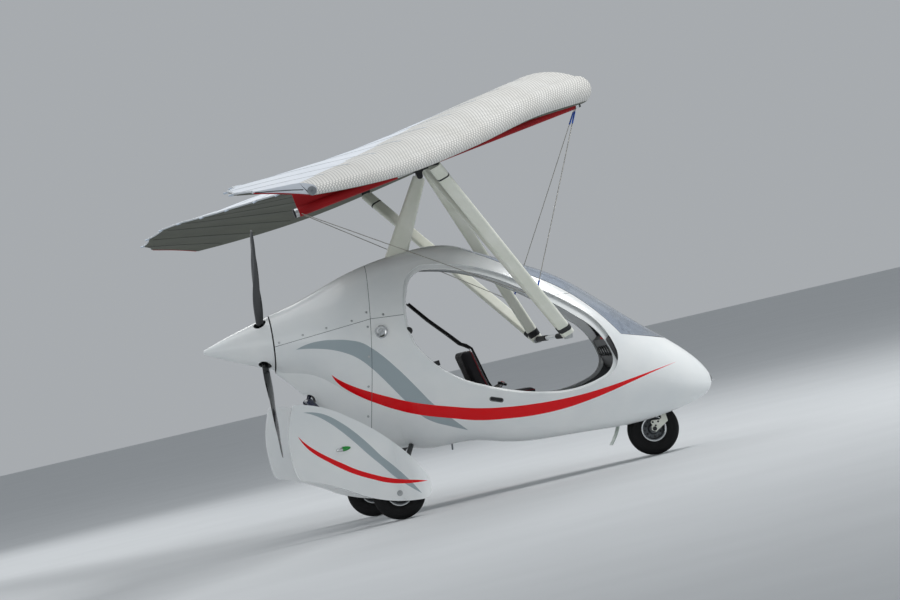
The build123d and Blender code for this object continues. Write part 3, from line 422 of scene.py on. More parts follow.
feed(tree, skin, "Base Color", painted(tree, ground, maths(tree, "MULTIPLY", lattice, SCRIM_SHOW), "#9A9A98"))
relief(tree, skin, lattice, 0.6)

# Woven polyester sailcloth: pale and smooth on top, red round the keel. Underneath, the dull olive of the
# cloth and the darker olive of its batten pockets are painted shade with a painted reflection of grass. Its
# threads are drawn 5 to 7 mm apart, far coarser than real ones, so that the weave shows.
upper_cloth = cloth("polyester_sailcloth_upper", "#E2E7EE", "#DBE1E9", 7.0, 0.45)
under_cloth_painted_shade = cloth("sailcloth_under_painted_shade", "#55584C", "#484B40", 7.0, 0.7, sheen=0.0)
pocket_cloth_painted_shade = cloth("under_pocket_cloth_painted_shade", "#3E4138", "#353830", 7.0, 0.7, sheen=0.0)
hem_cloth = cloth("white_hem_tape", "#C9CED2", "#BCC2C7", 5.0, 0.55)
red_cloth = cloth("red_sailcloth", "#B00A14", "#920812", 7.0, 0.6, sheen=0.0)

# Seat cover: black polyester weave, soft and dull, its threads drawn 4 mm apart, coarser than real ones
seat_cloth = cloth("black_seat_weave", "#1E1C20", "#141316", 4.0, 0.8, sheen=0.3, wrinkle_mm=0.5)
# Piping: dark red woven tape that outlines each pad
piping_tape = cloth("dark_red_piping", "#6E1620", "#58101A", 3.0, 0.7, wrinkle_mm=0.2)
# Harness: black polyester webbing with ribs along it
webbing = cloth("black_polyester_webbing", "#131314", "#0B0B0C", 3.0, 0.7, wrinkle_mm=0.2)

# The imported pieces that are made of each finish
FINISHES = {
    pod_gelcoat: "pod_shell",
    cowl_gelcoat: "cowl_upper cowl_lower",
    spat_gelcoat: "spat_left spat_right",
    plain_gelcoat: "spinner",
    acrylic: "windscreen",
    cabin_lining: "bulkhead cabin_floor seat_tub",
    seat_cloth: "seats",
    black_abs: "dash keel_caps",
    engine_alloy: "engine_block",
    blade_black: "prop_blades",
    tyre_rubber: "tyre_left tyre_right tyre_nose",
    rim_casting: "rim_left rim_right rim_nose",
    cast_aluminium: "steering_head prop_hub corner_fittings fuel_cap",
    black_steel: "gear_legs hang_block apex_saddle strut_brackets",
    blue_enamel: "dampers",
    red_lens: "nav_lamp_left",
    green_lens: "nav_lamp_right",
    powder_coat: "nose_fork mast uprights wing_struts",
    anodised_tube: "foot_bar pitot_tube keel_tube base_bar",
    flap_plastic: "mud_flap",
    upper_cloth: "sail_left sail_right",
    red_cloth: "keel_pocket",
    stay_wire: "stays",
}
for material, names in FINISHES.items():
    for node_name in names.split():
        for slot in nodes[node_name].material_slots:
            slot.material = material


# Mesh makers

# Edges that turn more than this stay sharp on a smooth piece
SHARP_EDGE = math.radians(42)


def mesh_piece(name, form, materials, body, face_materials=None, smooth=True):
    """Adds a mesh that rides on a body."""
    points, faces = form
    mesh = bpy.data.meshes.new(name)
    mesh.from_pydata([tuple(p) for p in points], [], faces)
    for material in materials:
        mesh.materials.append(material)
    for polygon, index in zip(mesh.polygons, face_materials or []):
        polygon.material_index = index
    mesh.validate()
    shape = bmesh.new()
    shape.from_mesh(mesh)
    bmesh.ops.recalc_face_normals(shape, faces=shape.faces)
    shape.to_mesh(mesh)
    shape.free()
    if smooth:
        mesh.shade_smooth()
        mesh.set_sharp_from_angle(angle=SHARP_EDGE)
    piece = bpy.data.objects.new(name, mesh)
    bpy.context.scene.collection.objects.link(piece)
    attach(piece, body)
    return piece


def joined(forms):
    """One form of points and faces out of several."""
    points, faces = [], []
    for more_points, more_faces in forms:
        first = len(points)
        points += more_points
        faces += [tuple(first + i for i in face) for face in more_faces]
    return points, faces


def grid_faces(rows, columns, wrap=False):
    """Faces of a grid of points, row by row. A wrapped grid closes each row on itself."""
    faces = []
    for low in range(0, (rows - 1) * columns, columns):
        for c in range(columns if wrap else columns - 1):
            n = (c + 1) % columns
            faces.append((low + c, low + n, low + columns + n, low + columns + c))
    return faces


def circle(steps):
    """Cosine and sine of even steps round a circle."""
    angles = [2 * math.pi * step / steps for step in range(steps)]
    return [(math.cos(angle), math.sin(angle)) for angle in angles]


def arc(first, middle, last, count):
    """Points along the circle through three side-view points."""
    (ax, ay), (bx, by), (cx, cy) = first, middle, last
    d = 2 * (ax * (by - cy) + bx * (cy - ay) + cx * (ay - by))
    if abs(d) < 1e-6:
        return [(ax + (cx - ax) * i / count, ay + (cy - ay) * i / count) for i in range(count + 1)]
    ux = ((ax**2 + ay**2) * (by - cy) + (bx**2 + by**2) * (cy - ay) + (cx**2 + cy**2) * (ay - by)) / d
    uy = ((ax**2 + ay**2) * (cx - bx) + (bx**2 + by**2) * (ax - cx) + (cx**2 + cy**2) * (bx - ax)) / d
    turns = [math.atan2(y - uy, x - ux) for x, y in (first, middle, last)]
    sweep = (turns[2] - turns[0]) % (2 * math.pi)
    if (turns[1] - turns[0]) % (2 * math.pi) > sweep:
        sweep -= 2 * math.pi
    radius = math.hypot(ax - ux, ay - uy)
    angles = [turns[0] + sweep * i / count for i in range(count + 1)]
    return [(ux + radius * math.cos(angle), uy + radius * math.sin(angle)) for angle in angles]


def turned(profile, centre, axis, steps=72, oval=1.0, along_oval=None):
    """Form of a profile of (distance along the axis, radius) turned about an axis through the centre.

    An oval form is oval times as long, along the way along_oval, as it is across.
    """
    axis = Vector(axis).normalized()
    side = (Vector(along_oval) if along_oval else axis.orthogonal()).normalized()
    up = axis.cross(side)
    points, rings = [], []
    for a, r in profile:
        if r == 0:
            rings.append([len(points)] * steps)
            points.append(centre + axis * a / 1000)
            continue
        rings.append(list(range(len(points), len(points) + steps)))
        for beside, above in circle(steps):
            points.append(centre + (axis * a + (side * beside * oval + up * above) * r) / 1000)
    faces = []
    for low, high in zip(rings, rings[1:]):
        for s in range(steps):
            n = (s + 1) % steps
            faces.append(tuple(dict.fromkeys((low[s], high[s], high[n], low[n]))))
    return points, faces


def tube(path, radius_mm, closed=False, rounds=10):
    """Form of a round tube, cord or piping through a path of model points."""
    path = [Vector(p) for p in path]
    points, last = [], len(path) - 1
    side = None
    for i, spot in enumerate(path):
        before = path[i - 1] if i or closed else path[i]
        after = path[(i + 1) % len(path)] if i < last or closed else path[i]
        run = (after - before).normalized()
        if side is None:
            side = run.orthogonal().normalized()
        side = (side - run * side.dot(run)).normalized()
        up = run.cross(side)
        for beside, above in circle(rounds):
            points.append(spot + (side * beside + up * above) * radius_mm / 1000)
    faces = grid_faces(len(path), rounds, wrap=True)
    end = last * rounds
    if closed:
        faces += [(end + c, end + (c + 1) % rounds, (c + 1) % rounds, c) for c in range(rounds)]
    else:
        faces += [tuple(range(rounds))[::-1], tuple(end + c for c in range(rounds))]
    return points, faces


def strap(path, width_mm, thick_mm, across=(0, 1, 0)):
    """Form of flat webbing along a path, with its width lying across."""
    path = [Vector(p) for p in path]
    points = []
    for i, spot in enumerate(path):
        run = (path[min(i + 1, len(path) - 1)] - path[max(i - 1, 0)]).normalized()
        wide = Vector(across)
        wide = (wide - run * wide.dot(run)).normalized()
        face = run.cross(wide)
        for w, t in ((-1, -1), (1, -1), (1, 1), (-1, 1)):
            points.append(spot + (wide * w * width_mm / 2 + face * t * thick_mm / 2) / 1000)
    faces = grid_faces(len(path), 4, wrap=True)
    last = 4 * (len(path) - 1)
    faces += [(3, 2, 1, 0), (last, last + 1, last + 2, last + 3)]
    return points, faces


def slot_tube(start, end, first_mm, last_mm, chord_mm, width_mm, rounds=14):
    """Form of a band round a strut of slot section, between two distances from its start."""
    axis = (end - start).normalized()
    wide = Vector((1, 0, 0))
    wide = (wide - axis * wide.dot(axis)).normalized()
    thin = axis.cross(wide)
    half = (chord_mm - width_mm) / 2
    outline = []
    for sign in (1, -1):
        for step in range(rounds + 1):
            angle = -math.pi / 2 + math.pi * step / rounds
            u = half + math.cos(angle) * width_mm / 2
            outline.append((sign * u, sign * math.sin(angle) * width_mm / 2))
    points = []
    for far in (first_mm, last_mm):
        points += [start + (axis * far + wide * u + thin * v) / 1000 for u, v in outline]
    return points, closed_ends(len(outline))


def closed_ends(count):
    """Faces of a form between two outlines of that many points, closed at both ends."""
    return grid_faces(2, count, wrap=True) + [tuple(range(count))[::-1], tuple(range(count, 2 * count))]


def plate(outline, side, inner_y, outer_y):
    """Form of a flat plate with a side-view outline, between two side distances."""
    points = []
    for y in (inner_y, outer_y):
        points += [at(station, side * y, z) for station, z in outline]
    return points, closed_ends(len(outline))


def search_tree(*meshes):
    """Search tree over the surfaces of some meshes."""
    forms = []
    for mesh in meshes:
        forms.append(([v.co.copy() for v in mesh.vertices], [tuple(p.vertices) for p in mesh.polygons]))
    return BVHTree.FromPolygons(*joined(forms))


WELL_OUTSIDE = 3000


def skin_spot(tree, side, station, z):
    """Point and outward way of the skin where a level line from one side first meets it."""
    spot, normal, _, _ = tree.ray_cast(at(station, side * WELL_OUTSIDE, z), Vector((0, -side, 0)))
    if normal.y * side < 0:
        normal = -normal
    return spot, normal


pod_skin = search_tree(*[nodes[name].data for name in ("pod_shell", "cowl_upper", "cowl_lower")])


# Wing

# Each row: side distance, leading edge station and height, nose radius, trailing edge station and height,
# crest share of the chord, crest height above the chord line and lower surface depth below it.
WING_ROWS = np.array([
    (0, 1960, 2500, 88, -118, 2268, 0.22, 208, 60),
    (900, 1470, 2436, 80, -190, 2280, 0.22, 172, 46),
    (2000, 870, 2284, 60, -530, 2276, 0.23, 150, 34),
    (3100, 271, 2166, 46, -815, 2276, 0.24, 110, 24),
    (4000, -220, 2129, 38, -915, 2212, 0.25, 70, 18),
    (4430, -462, 2119, 30, -850, 2188, 0.26, 46, 14),
])
TRAILING_THICKNESS = 10.0
LEADING_EDGE_SWEEP = math.radians(28.7)
TIP_Y = 4430.0
BATTEN_YS = [330, 800, 1270, 1740, 2210, 2680, 3140, 3600, 4040]
# How far the trailing edge draws in between two battens, over which share of the chord, and how far the cloth
# between them gives way to the air
SCALLOP_DEPTH = 26.0
SCALLOP_SHARE = 0.2
BILLOW_DEPTH = 9.0
# Counts of the profile's points: the rear of the top, its front, the nose and the underside
REAR, FRONT, NOSE, UNDER = 27, 10, 24, 30
UNDER_START = REAR + FRONT + NOSE
# How many rows further back the leading panel reaches at the root than at the tip
SCRIM_EXTRA_ROWS = 6
# Rows of the nose, at its foot, that are cut from the cloth of the underside, and so carry its painted shade
FOOT_ROWS = 3


def wing_row(y):
    """Row of the wing's table at any side distance, on a smooth line through the given rows."""
    sides = WING_ROWS[:, 0]
    slopes = np.gradient(WING_ROWS[:, 1:], sides, axis=0)
    i = int(min(max(np.searchsorted(sides, y) - 1, 0), len(sides) - 2))
    width = sides[i + 1] - sides[i]
    t = (y - sides[i]) / width
    return (
        WING_ROWS[i, 1:] * (2 * t**3 - 3 * t**2 + 1)
        + slopes[i] * width * (t**3 - 2 * t**2 + t)
        + WING_ROWS[i + 1, 1:] * (3 * t**2 - 2 * t**3)
        + slopes[i + 1] * width * (t**3 - t**2)
    )


def sail_profile(y):
    """Side-view points round the sail at y, from the upper trailing edge over the nose and back below."""
    nose_station, nose_z, nose_radius, tail_station, tail_z, crest_share, crest, belly = wing_row(y)
    chord = math.hypot(nose_station - tail_station, nose_z - tail_z)
    ux, uz = (tail_station - nose_station) / chord, (tail_z - nose_z) / chord
    vx, vz = (uz, -ux) if ux < 0 else (-uz, ux)

    def on(share, height):
        return (nose_station + ux * share * chord + vx * height, nose_z + uz * share * chord + vz * height)

    half = TRAILING_THICKNESS / 2
    nose_up = on(nose_radius * 0.9 / chord, nose_radius * 1.15)
    nose_down = on(nose_radius / chord, -nose_radius)
    crest_at = on(crest_share, crest)
    upper_rear = arc(on(1, half), on(0.6, crest * 0.62), crest_at, REAR - 1)
    upper_front = arc(crest_at, on(crest_share * 0.5, crest * 0.88), nose_up, FRONT)
    nose = arc(nose_up, (nose_station, nose_z), nose_down, NOSE)
    under = arc(nose_down, on(0.5, -belly), on(1, -half), UNDER)
    return upper_rear + upper_front[1:] + nose[1:] + under[1:]


def panel_share(y):
    """How far y lies between two battens, from 0 at one to 1 at the next."""
    edges = [-BATTEN_YS[0]] + BATTEN_YS + [TIP_Y + 60]
    for low, high in zip(edges, edges[1:]):
        if low <= y <= high:
            return (y - low) / (high - low)
    return 0.0


def sail_ring(side, y):
    """Model points round the sail at y, with the cloth drawn up between the battens."""
    sag = math.sin(math.pi * panel_share(y))
    spots = []
    for i, (station, z) in enumerate(sail_profile(y)):
        reach = 0
        if i < REAR:
            reach = 1 - i / (REAR - 1)
            z -= BILLOW_DEPTH * sag * math.sin(math.pi * min(1, 1.15 * (1 - reach) ** 0.8)) * 0.6
        elif i >= UNDER_START - 1:
            reach = (i - UNDER_START + 1) / UNDER
            z += BILLOW_DEPTH * sag * math.sin(math.pi * reach) * 0.5
        station += SCALLOP_DEPTH * sag**0.7 * max(0, reach - (1 - SCALLOP_SHARE)) / SCALLOP_SHARE
        spots.append(at(station, side * y, z))
    return spots


def below(c):
    """Index, from the profile's last point, of the underside's point that lies under the top's point c."""
    return -1 - round(c * (UNDER - 1) / (REAR - 1))


# The underside's dark olive cloth is painted shade
SAIL_CLOTHS = [scrim_cloth, upper_cloth, under_cloth_painted_shade]
PANEL, TOP, UNDERSIDE = range(3)
SAIL_ROWS = 120


def sail(side, name):
    """Upper and lower skins of one half of the wing, closed at the tip."""
    spans = [TIP_Y * i / SAIL_ROWS for i in range(SAIL_ROWS + 1)]
    rings = [sail_ring(side, y) for y in spans]
    count = len(rings[0])
    points = [spot for ring in rings for spot in ring]
    faces, picks = grid_faces(len(spans), count, wrap=True), []
    for y in spans[:-1]:
        panel_start = REAR - 1 - round(SCRIM_EXTRA_ROWS * (1 - y / TIP_Y))
        panel_end = UNDER_START - 1 - FOOT_ROWS
        picks += [TOP if c < panel_start else PANEL if c < panel_end else UNDERSIDE for c in range(count)]
    tip = SAIL_ROWS * count
    for c in range(REAR - 1):
        corners = (tip + c, tip + c + 1, len(points) + below(c + 1), len(points) + below(c))
        faces.append(tuple(dict.fromkeys(corners)))
    faces.append(tuple(tip + c for c in range(REAR - 1, UNDER_START)))
    picks += [TOP] * REAR
    skin = mesh_piece(f"sail_skin_{name}", (points, faces), SAIL_CLOTHS, "wing", picks)
    # The cloth's own lengths in metres: along the leading edge, and back from its nose
    nose_index = REAR + FRONT + NOSE // 2
    places = []
    for y, ring in zip(spans, rings):
        runs = [0.0]
        for before, after in zip(ring, ring[1:]):
            runs.append(runs[-1] + (after - before).length)
        places += [(y / 1000 / math.cos(LEADING_EDGE_SWEEP), run - runs[nose_index]) for run in runs]
    lengths = skin.data.uv_layers.new(name="cloth_lengths")
    for loop in skin.data.loops:
        lengths.data[loop.index].uv = places[loop.vertex_index]
    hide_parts(f"sail_{name}")


BATTEN_POCKET_HALF = 12.0
POCKET_LIFT = 1.4
BATTEN_TIP_REACH = 26
HEM_STEPS = 240
# How far the slit of the tip lies from the top of the sail to its underside, as a share
SLIT_SHARE = 0.55


def batten_pocket(side, y, first, last, lift):
    """Form of a stitched cloth strip along the sail from one of its profile's points to another."""
    edges = [sail_ring(side, y + offset)[first:last] for offset in (-BATTEN_POCKET_HALF, BATTEN_POCKET_HALF)]
    points = []
    for inner, outer in zip(*edges):
        raised = [spot.copy() for spot in (inner, outer)]
        for spot in raised:
            spot.z += lift / 1000
        points += [inner, *raised, outer]
    return points, grid_faces(len(edges[0]), 4)


for side, name in SIDES:
    sail(side, name)
    tips, upper_pockets, under_pockets = [], [], []
    for y in BATTEN_YS:
        ring = sail_profile(y)
        (tail_x, tail_z), (next_x, next_z) = ring[0], ring[3]
        run = Vector((tail_x - next_x, 0, tail_z - next_z)).normalized() * BATTEN_TIP_REACH
        tail = at(tail_x, side * y, tail_z - 4)
        tips.append(tube([tail - run / 1000, tail + run / 1000], 6.0))
        upper_pockets.append(batten_pocket(side, y, 1, REAR + 3, POCKET_LIFT))
        under_pockets.append(batten_pocket(side, y, UNDER_START + 2, UNDER_START + UNDER - 1, -POCKET_LIFT))
    mesh_piece(f"batten_tips_{name}", joined(tips), [tip_plastic], "wing")
    mesh_piece(f"upper_batten_pockets_{name}", joined(upper_pockets), [hem_cloth], "wing")
    # The pockets under the sail are a darker olive: painted shade
    mesh_piece(f"under_batten_pockets_{name}", joined(under_pockets), [pocket_cloth_painted_shade], "wing")
    # Hem along the trailing edge, folded over a cord
    hem = [sail_ring(side, TIP_Y * i / HEM_STEPS)[0] for i in range(HEM_STEPS + 1)]
    mesh_piece(f"trailing_hem_{name}", tube(hem, 6.5, rounds=8), [hem_cloth], "wing")
    # Tip: a black cord along the open slit where the sail is tied, painted shade for the slit, then its red
    # piping and the end of the leading edge tube
    tip_ring = sail_ring(side, TIP_Y)
    proud = Vector((0, side * 0.0015, 0))
    slit = [tip_ring[c].lerp(tip_ring[below(c)], SLIT_SHARE) + proud for c in range(2, REAR - 1)]
    mesh_piece(f"tip_slit_painted_shade_{name}", tube(slit, 2.4, rounds=6), [black_abs], "wing")
    lower_edge = [spot + Vector((0, side * 0.002, 0)) for spot in tip_ring[UNDER_START:-1]]
    mesh_piece(f"tip_piping_{name}", tube(lower_edge, 3.6, rounds=8), [red_cloth], "wing")
    row = wing_row(TIP_Y)
    cap_centre = at(row[0] - 30, side * (TIP_Y - 8), row[1] + 3)
    cap = turned([(0, 27), (14, 27), (17, 24), (17, 8), (13, 6), (13, 0)], cap_centre, (0, side, 0), 36)
    mesh_piece(f"leading_edge_cap_{name}", cap, [grey_abs], "wing")


# Wheels

# Each wheel: its station and side distance, and the body it turns with
WHEELS = {"left": (0, 800, "wheel_left"), "right": (0, -800, "wheel_right"), "nose": (1850, 0, "nose_wheel")}
TYRE_RADIUS = 175.0
# Tyre profile from its middle outwards: three grooves in the tread, the shoulder, the sidewall with its
# raised line, and the bead
tread = [(0, 170), (2.2, 170), (2.4, 174.8), (13, 174), (13.2, 169), (17, 168.6), (17.2, 173.2)]
tread += [p for p in arc((0, 175), (16, 173.5), (30, 169), 6) if p[0] > 18]
shoulder = arc((30, 169), (45, 153), (50, 125.5), 8)[1:]
sidewall = arc((50, 125.5), (46, 97), (31.5, 84.8), 8)[1:]
half_tyre = tread + shoulder + sidewall + [(31, 77)]
half_tyre.insert(-11, (50.6, 138))
TYRE_PROFILE = [(-a, r) for a, r in half_tyre[::-1]] + half_tyre[1:]
RIM_RING = [(34, 76), (39.2, 76.5), (41.0, 80), (40.8, 85.0), (38, 87.5)]
# The rim's six bolts, and the slots between them: profile, sides and distance from the axle in metres
RIM_BOLT = ([(5, 7.5), (9.5, 7.5), (11, 6), (11, 0)], 6, 0.052)
RIM_SLOT = ([(5.1, 5), (5.6, 4.6), (5.6, 0)], 12, 0.058)
SLOT_TURN = 0.52
for name, (station, y, body) in WHEELS.items():
    centre = at(station, y, TYRE_RADIUS)
    tyre_form = turned(TYRE_PROFILE, centre, (0, 1, 0), 96)
    tyre = mesh_piece(f"grooved_tyre_{name}", tyre_form, [tyre_rubber], body)
    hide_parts(f"tyre_{name}")
    rings, bolts = [], []
    for sign in (1, -1):
        rings.append(turned(RIM_RING, centre, (0, sign, 0), 72))
        for k in range(6):
            angle = 2 * math.pi * (k + 0.5) / 6
            for turn, (profile, sides, reach) in ((angle, RIM_BOLT), (angle + SLOT_TURN, RIM_SLOT)):
                spot = centre + Vector((math.cos(turn), 0, math.sin(turn))) * reach
                bolts.append(turned(profile, spot, (0, sign, 0), sides))
    mesh_piece(f"rim_flanges_{name}", joined(rings), [polished_alloy], body)
    mesh_piece(f"rim_bolts_{name}", joined(bolts), [black_steel], body)


# Cabin


def apply_modifiers(piece):
    """Turns a piece's modifiers into its mesh."""
    made = bpy.data.meshes.new_from_object(piece.evaluated_get(bpy.context.evaluated_depsgraph_get()))
    old = piece.data
    piece.modifiers.clear()
    piece.data = made
    bpy.data.meshes.remove(old)


# Voxel in metres, pressure inside the pad, frames of the simulation, and the furthest swell in millimetres
SOFT_VOXEL = 0.007
SOFT_PRESSURE = 4.0
SOFT_FRAMES = 18
SOFT_CAP = 14


def padded_seat(form, name):
    """Seat pad: the form is filled with voxels and blown up as stitched cloth, no further than the cap."""
    piece = mesh_piece(name, form, [seat_cloth], "trike", smooth=False)
    remesh = piece.modifiers.new("even_cells", "REMESH")
    remesh.mode = "VOXEL"
    remesh.voxel_size = SOFT_VOXEL
    apply_modifiers(piece)
    still = [v.co.copy() for v in piece.data.vertices]
    puff = piece.modifiers.new("filling", "CLOTH")
    puff.settings.use_pressure = True
    puff.settings.uniform_pressure_force = SOFT_PRESSURE
    puff.settings.effector_weights.gravity = 0.0
    puff.point_cache.frame_end = SOFT_FRAMES
    for step in range(1, SOFT_FRAMES + 1):
        bpy.context.scene.frame_set(step)
    apply_modifiers(piece)
    bpy.context.scene.frame_set(1)
    for vertex, rest in zip(piece.data.vertices, still):
        move = vertex.co - rest
        if move.length > SOFT_CAP / 1000:
            vertex.co = rest + move.normalized() * SOFT_CAP / 1000
    smooth = piece.modifiers.new("relax", "SMOOTH")
    smooth.factor = 0.5
    smooth.iterations = 6
    apply_modifiers(piece)
    piece.data.materials.clear()
    piece.data.materials.append(seat_cloth)
    piece.data.shade_smooth()
    return piece


# Divisions of a pad along it, through it and across it, and how far its sides are drawn in, as a share
PAD_STEPS = (14, 4, 12)
PAD_WAIST = 0.035


def pad_form(corners, half):
    """Closed form of a pad from its four side-view corners, finely divided, its sides drawn in midway."""
    a, b, c, d = [Vector(corner) for corner in corners]
    points, index = [], {}
    for place in np.ndindex(*[steps + 1 for steps in PAD_STEPS]):
        if all(0 < k < steps for k, steps in zip(place, PAD_STEPS)):
            continue
        u, v, w = [k / steps for k, steps in zip(place, PAD_STEPS)]
        spot = a.lerp(b, u).lerp(d.lerp(c, u), v)
        waist = 1 - PAD_WAIST * math.sin(math.pi * u)
        index[place] = len(points)
        points.append(at(spot.x, (2 * w - 1) * half * waist, spot.y))
    faces = []
    for level_way, first_way, next_way in ((1, 0, 2), (2, 0, 1), (0, 1, 2)):
        for first, after in np.ndindex(PAD_STEPS[first_way], PAD_STEPS[next_way]):
            for level in (0, PAD_STEPS[level_way]):
                face = []
                for more, further in ((0, 0), (1, 0), (1, 1), (0, 1)):
                    place = {level_way: level, first_way: first + more, next_way: after + further}
                    face.append(index[place[0], place[1], place[2]])
                faces.append(tuple(face))
    return points, faces


SEAT_HALF = 188.0
# Side-view corners of each pad: lower front or lower end first, then round the pad
SEAT_PADS = {
    "front_cushion": [(1122, 566), (742, 566), (742, 628), (1122, 622)],
    "front_back": [(748, 642), (678, 972), (744, 972), (822, 648)],
    "rear_cushion": [(654, 566), (270, 566), (270, 662), (654, 656)],
    "rear_back": [(275, 678), (182, 1140), (250, 1140), (362, 682)],
}
PLEAT_SPACING, PLEAT_DEPTH, PLEAT_HALF = 62.0, 6.0, 7.0


def sew_pleats(piece):
    """Presses sewn channels into a pad, along its length, between its side edges."""
    for vertex in piece.data.vertices:
        side_mm = abs(vertex.co.y) * 1000
        off = abs((side_mm + PLEAT_SPACING / 2) % PLEAT_SPACING - PLEAT_SPACING / 2)
        if side_mm < SEAT_HALF - PLEAT_SPACING / 2:
            vertex.co -= vertex.normal * (PLEAT_DEPTH / 1000 * math.exp(-((off / PLEAT_HALF) ** 2)))


PIPING_Y = SEAT_HALF - 4
for name, corners in SEAT_PADS.items():
    pad = padded_seat(pad_form(corners, SEAT_HALF), name)
    sew_pleats(pad)
    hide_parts("seats")
    # Piping along both edges of the pad's face and across its ends, pulled onto the pad
    _, _, c, d = corners
    edges = [(d, c), (c, d)] if "cushion" in name else [(c, d), (d, c)]
    seam_path = []
    for sign, (start, end) in zip((1, -1), edges):
        for k in range(13):
            run = [start[i] + (end[i] - start[i]) * (k / 12) for i in (0, 1)]
            seam_path.append(at(run[0], sign * PIPING_Y, run[1]))
        for k in range(1, 8):
            seam_path.append(at(end[0], sign * PIPING_Y * (1 - 2 * k / 8), end[1]))
    pad_skin = search_tree(pad.data)
    seam_path = [pad_skin.find_nearest(spot)[0] for spot in seam_path]
    piping = tube(seam_path, 4.5, closed=True, rounds=8)
    mesh_piece(f"{name}_piping", piping, [piping_tape], "trike")

# Harness: shoulder straps from the frame behind to each seat, and lap belts with a red-buttoned buckle.
# Each route is the shoulder straps' run in side view, down to the buckle.
HARNESSES = {
    "front": [
        (424, 1352), (530, 1216), (640, 1092), (706, 1014), (738, 996), (770, 968), (792, 880), (826, 730),
        (850, 668),
    ],
    "rear": [
        (192, 1300), (204, 1212), (226, 1164), (262, 1140), (290, 1060), (338, 860), (372, 730), (400, 694),
    ],
}
STRAP_WIDTH, STRAP_THICKNESS = 44.0, 2.4
# The lap belt from the seat's side to the buckle: distance forward of the route's end, side distance, height
LAP_ROUTE = [(-40, 196, -52), (20, 192, 10), (60, 140, 22), (74, 40, 26)]
BUCKLE_WAY = (0.45, 0, 0.9)
for name, route in HARNESSES.items():
    straps = []
    for sign in (1, -1):
        reach = len(route) - 1
        path = [at(st, sign * (52 + 26 * k / reach), z + 6) for k, (st, z) in enumerate(route)]
        straps.append(strap(path, STRAP_WIDTH, STRAP_THICKNESS, across=(0, 1, 0.5 * sign)))
    base_station, base_z = route[-1]
    for sign in (1, -1):
        lap = [at(base_station + ahead, sign * y, base_z + rise) for ahead, y, rise in LAP_ROUTE]
        straps.append(strap(lap, STRAP_WIDTH, STRAP_THICKNESS, across=(0.8, 0, 0.6)))
    mesh_piece(f"{name}_harness", joined(straps), [webbing], "trike")
    buckle = at(base_station + 76, 0, base_z + 30)
    body_form = turned([(-8, 30), (4, 32), (9, 28), (10, 0)], buckle, BUCKLE_WAY, 28, 1.3, (0, 1, 0))
    button_form = turned([(9, 15), (14, 14), (15, 11), (15, 0)], buckle, BUCKLE_WAY, 28)
    mesh_piece(f"{name}_buckle", body_form, [black_abs], "trike")
    mesh_piece(f"{name}_buckle_button", button_form, [red_abs], "trike")

# Dials in the aft face of the dash: each by its side distance, its place up the face as a share, and its
# radius
DASH_TOP, DASH_FOOT = (1630, 835), (1680, 640)
DIALS = [(-236, 0.58, 32), (-150, 0.6, 40), (-50, 0.6, 40), (50, 0.6, 40), (150, 0.6, 40), (236, 0.58, 32)]
# Turns, in degrees from straight up, of a dial's first mark and from one mark to the next
FIRST_MARK, MARK_STEP, MARKS = -130, 26, 11
face_station, face_rise = DASH_TOP[0] - DASH_FOOT[0], DASH_TOP[1] - DASH_FOOT[1]
dash_way = Vector((-face_rise, 0, face_station)).normalized()
dash_across = Vector((0, 1, 0))
dash_down = dash_way.cross(dash_across)


def dial_line(spot, degrees, start_mm, end_mm, width_mm, lift_mm):
    """Printed line on a dial, between two distances from its middle, turned by some degrees."""
    angle = math.radians(degrees)
    out = dash_across * math.sin(angle) - dash_down * math.cos(angle)
    raised = spot + dash_way * lift_mm / 1000
    ends = [raised + out * far / 1000 for far in (start_mm, end_mm)]
    return strap(ends, width_mm, 0.4, across=dash_way.cross(out))


bezels, dial_faces, marks = [], [], []
for y, share, radius in DIALS:
    spot = at(DASH_FOOT[0] + face_station * share, y, DASH_FOOT[1] + face_rise * share)
    bezel = [(0, radius), (6, radius - 1), (7, radius - 4), (2.5, radius - 7)]
    bezels.append(turned(bezel, spot, dash_way, 48))
    dial_faces.append(turned([(2.5, radius - 6), (2.6, 0)], spot, dash_way, 48))
    for k in range(MARKS):
        marks.append(dial_line(spot, FIRST_MARK + MARK_STEP * k, radius - 13, radius - 8, 1.6, 3.1))
    marks.append(dial_line(spot, FIRST_MARK + 9 * (abs(y) % 17), -6, radius - 11, 2.0, 3.6))
mesh_piece("dial_bezels", joined(bezels), [black_abs], "trike")
mesh_piece("dial_faces", joined(dial_faces), [dial_face], "trike")
mesh_piece("dial_marks", joined(marks), [dial_mark], "trike")
# Levers at the right-hand end of the dash: a red knob and a small grey one
red_lever = [at(1668, -262, 800), at(1632, -262, 836), at(1600, -262, 852)]
mesh_piece("red_lever", tube(red_lever, 7.0, rounds=12), [red_abs], "trike")
grey_lever = [at(1676, -284, 770), at(1640, -284, 800)]
mesh_piece("grey_lever", tube(grey_lever, 5.0, rounds=12), [anodised_tube], "trike")

# Opening beside the seats, which is closed round its edge by a flange that turns in. Each row: a corner, the
# middle of the arc to the next corner, and the flange's width at the corner.
OPENING_ARCS = [
    ((364, 1084), (341, 1240), 10),
    ((386, 1451), (455, 1556), 22),
    ((561, 1590), (870, 1508), 34),
    ((1160, 1345), (1356, 1204), 44),
    ((1534, 1049), (1640, 895), 56),
    ((1682, 740), (1648, 642), 34),
    ((1568, 590), (1380, 553), 14),
    ((1184, 569), (960, 627), 10),
    ((749, 716), (528, 860), 10),
]
ARC_STEPS = 14
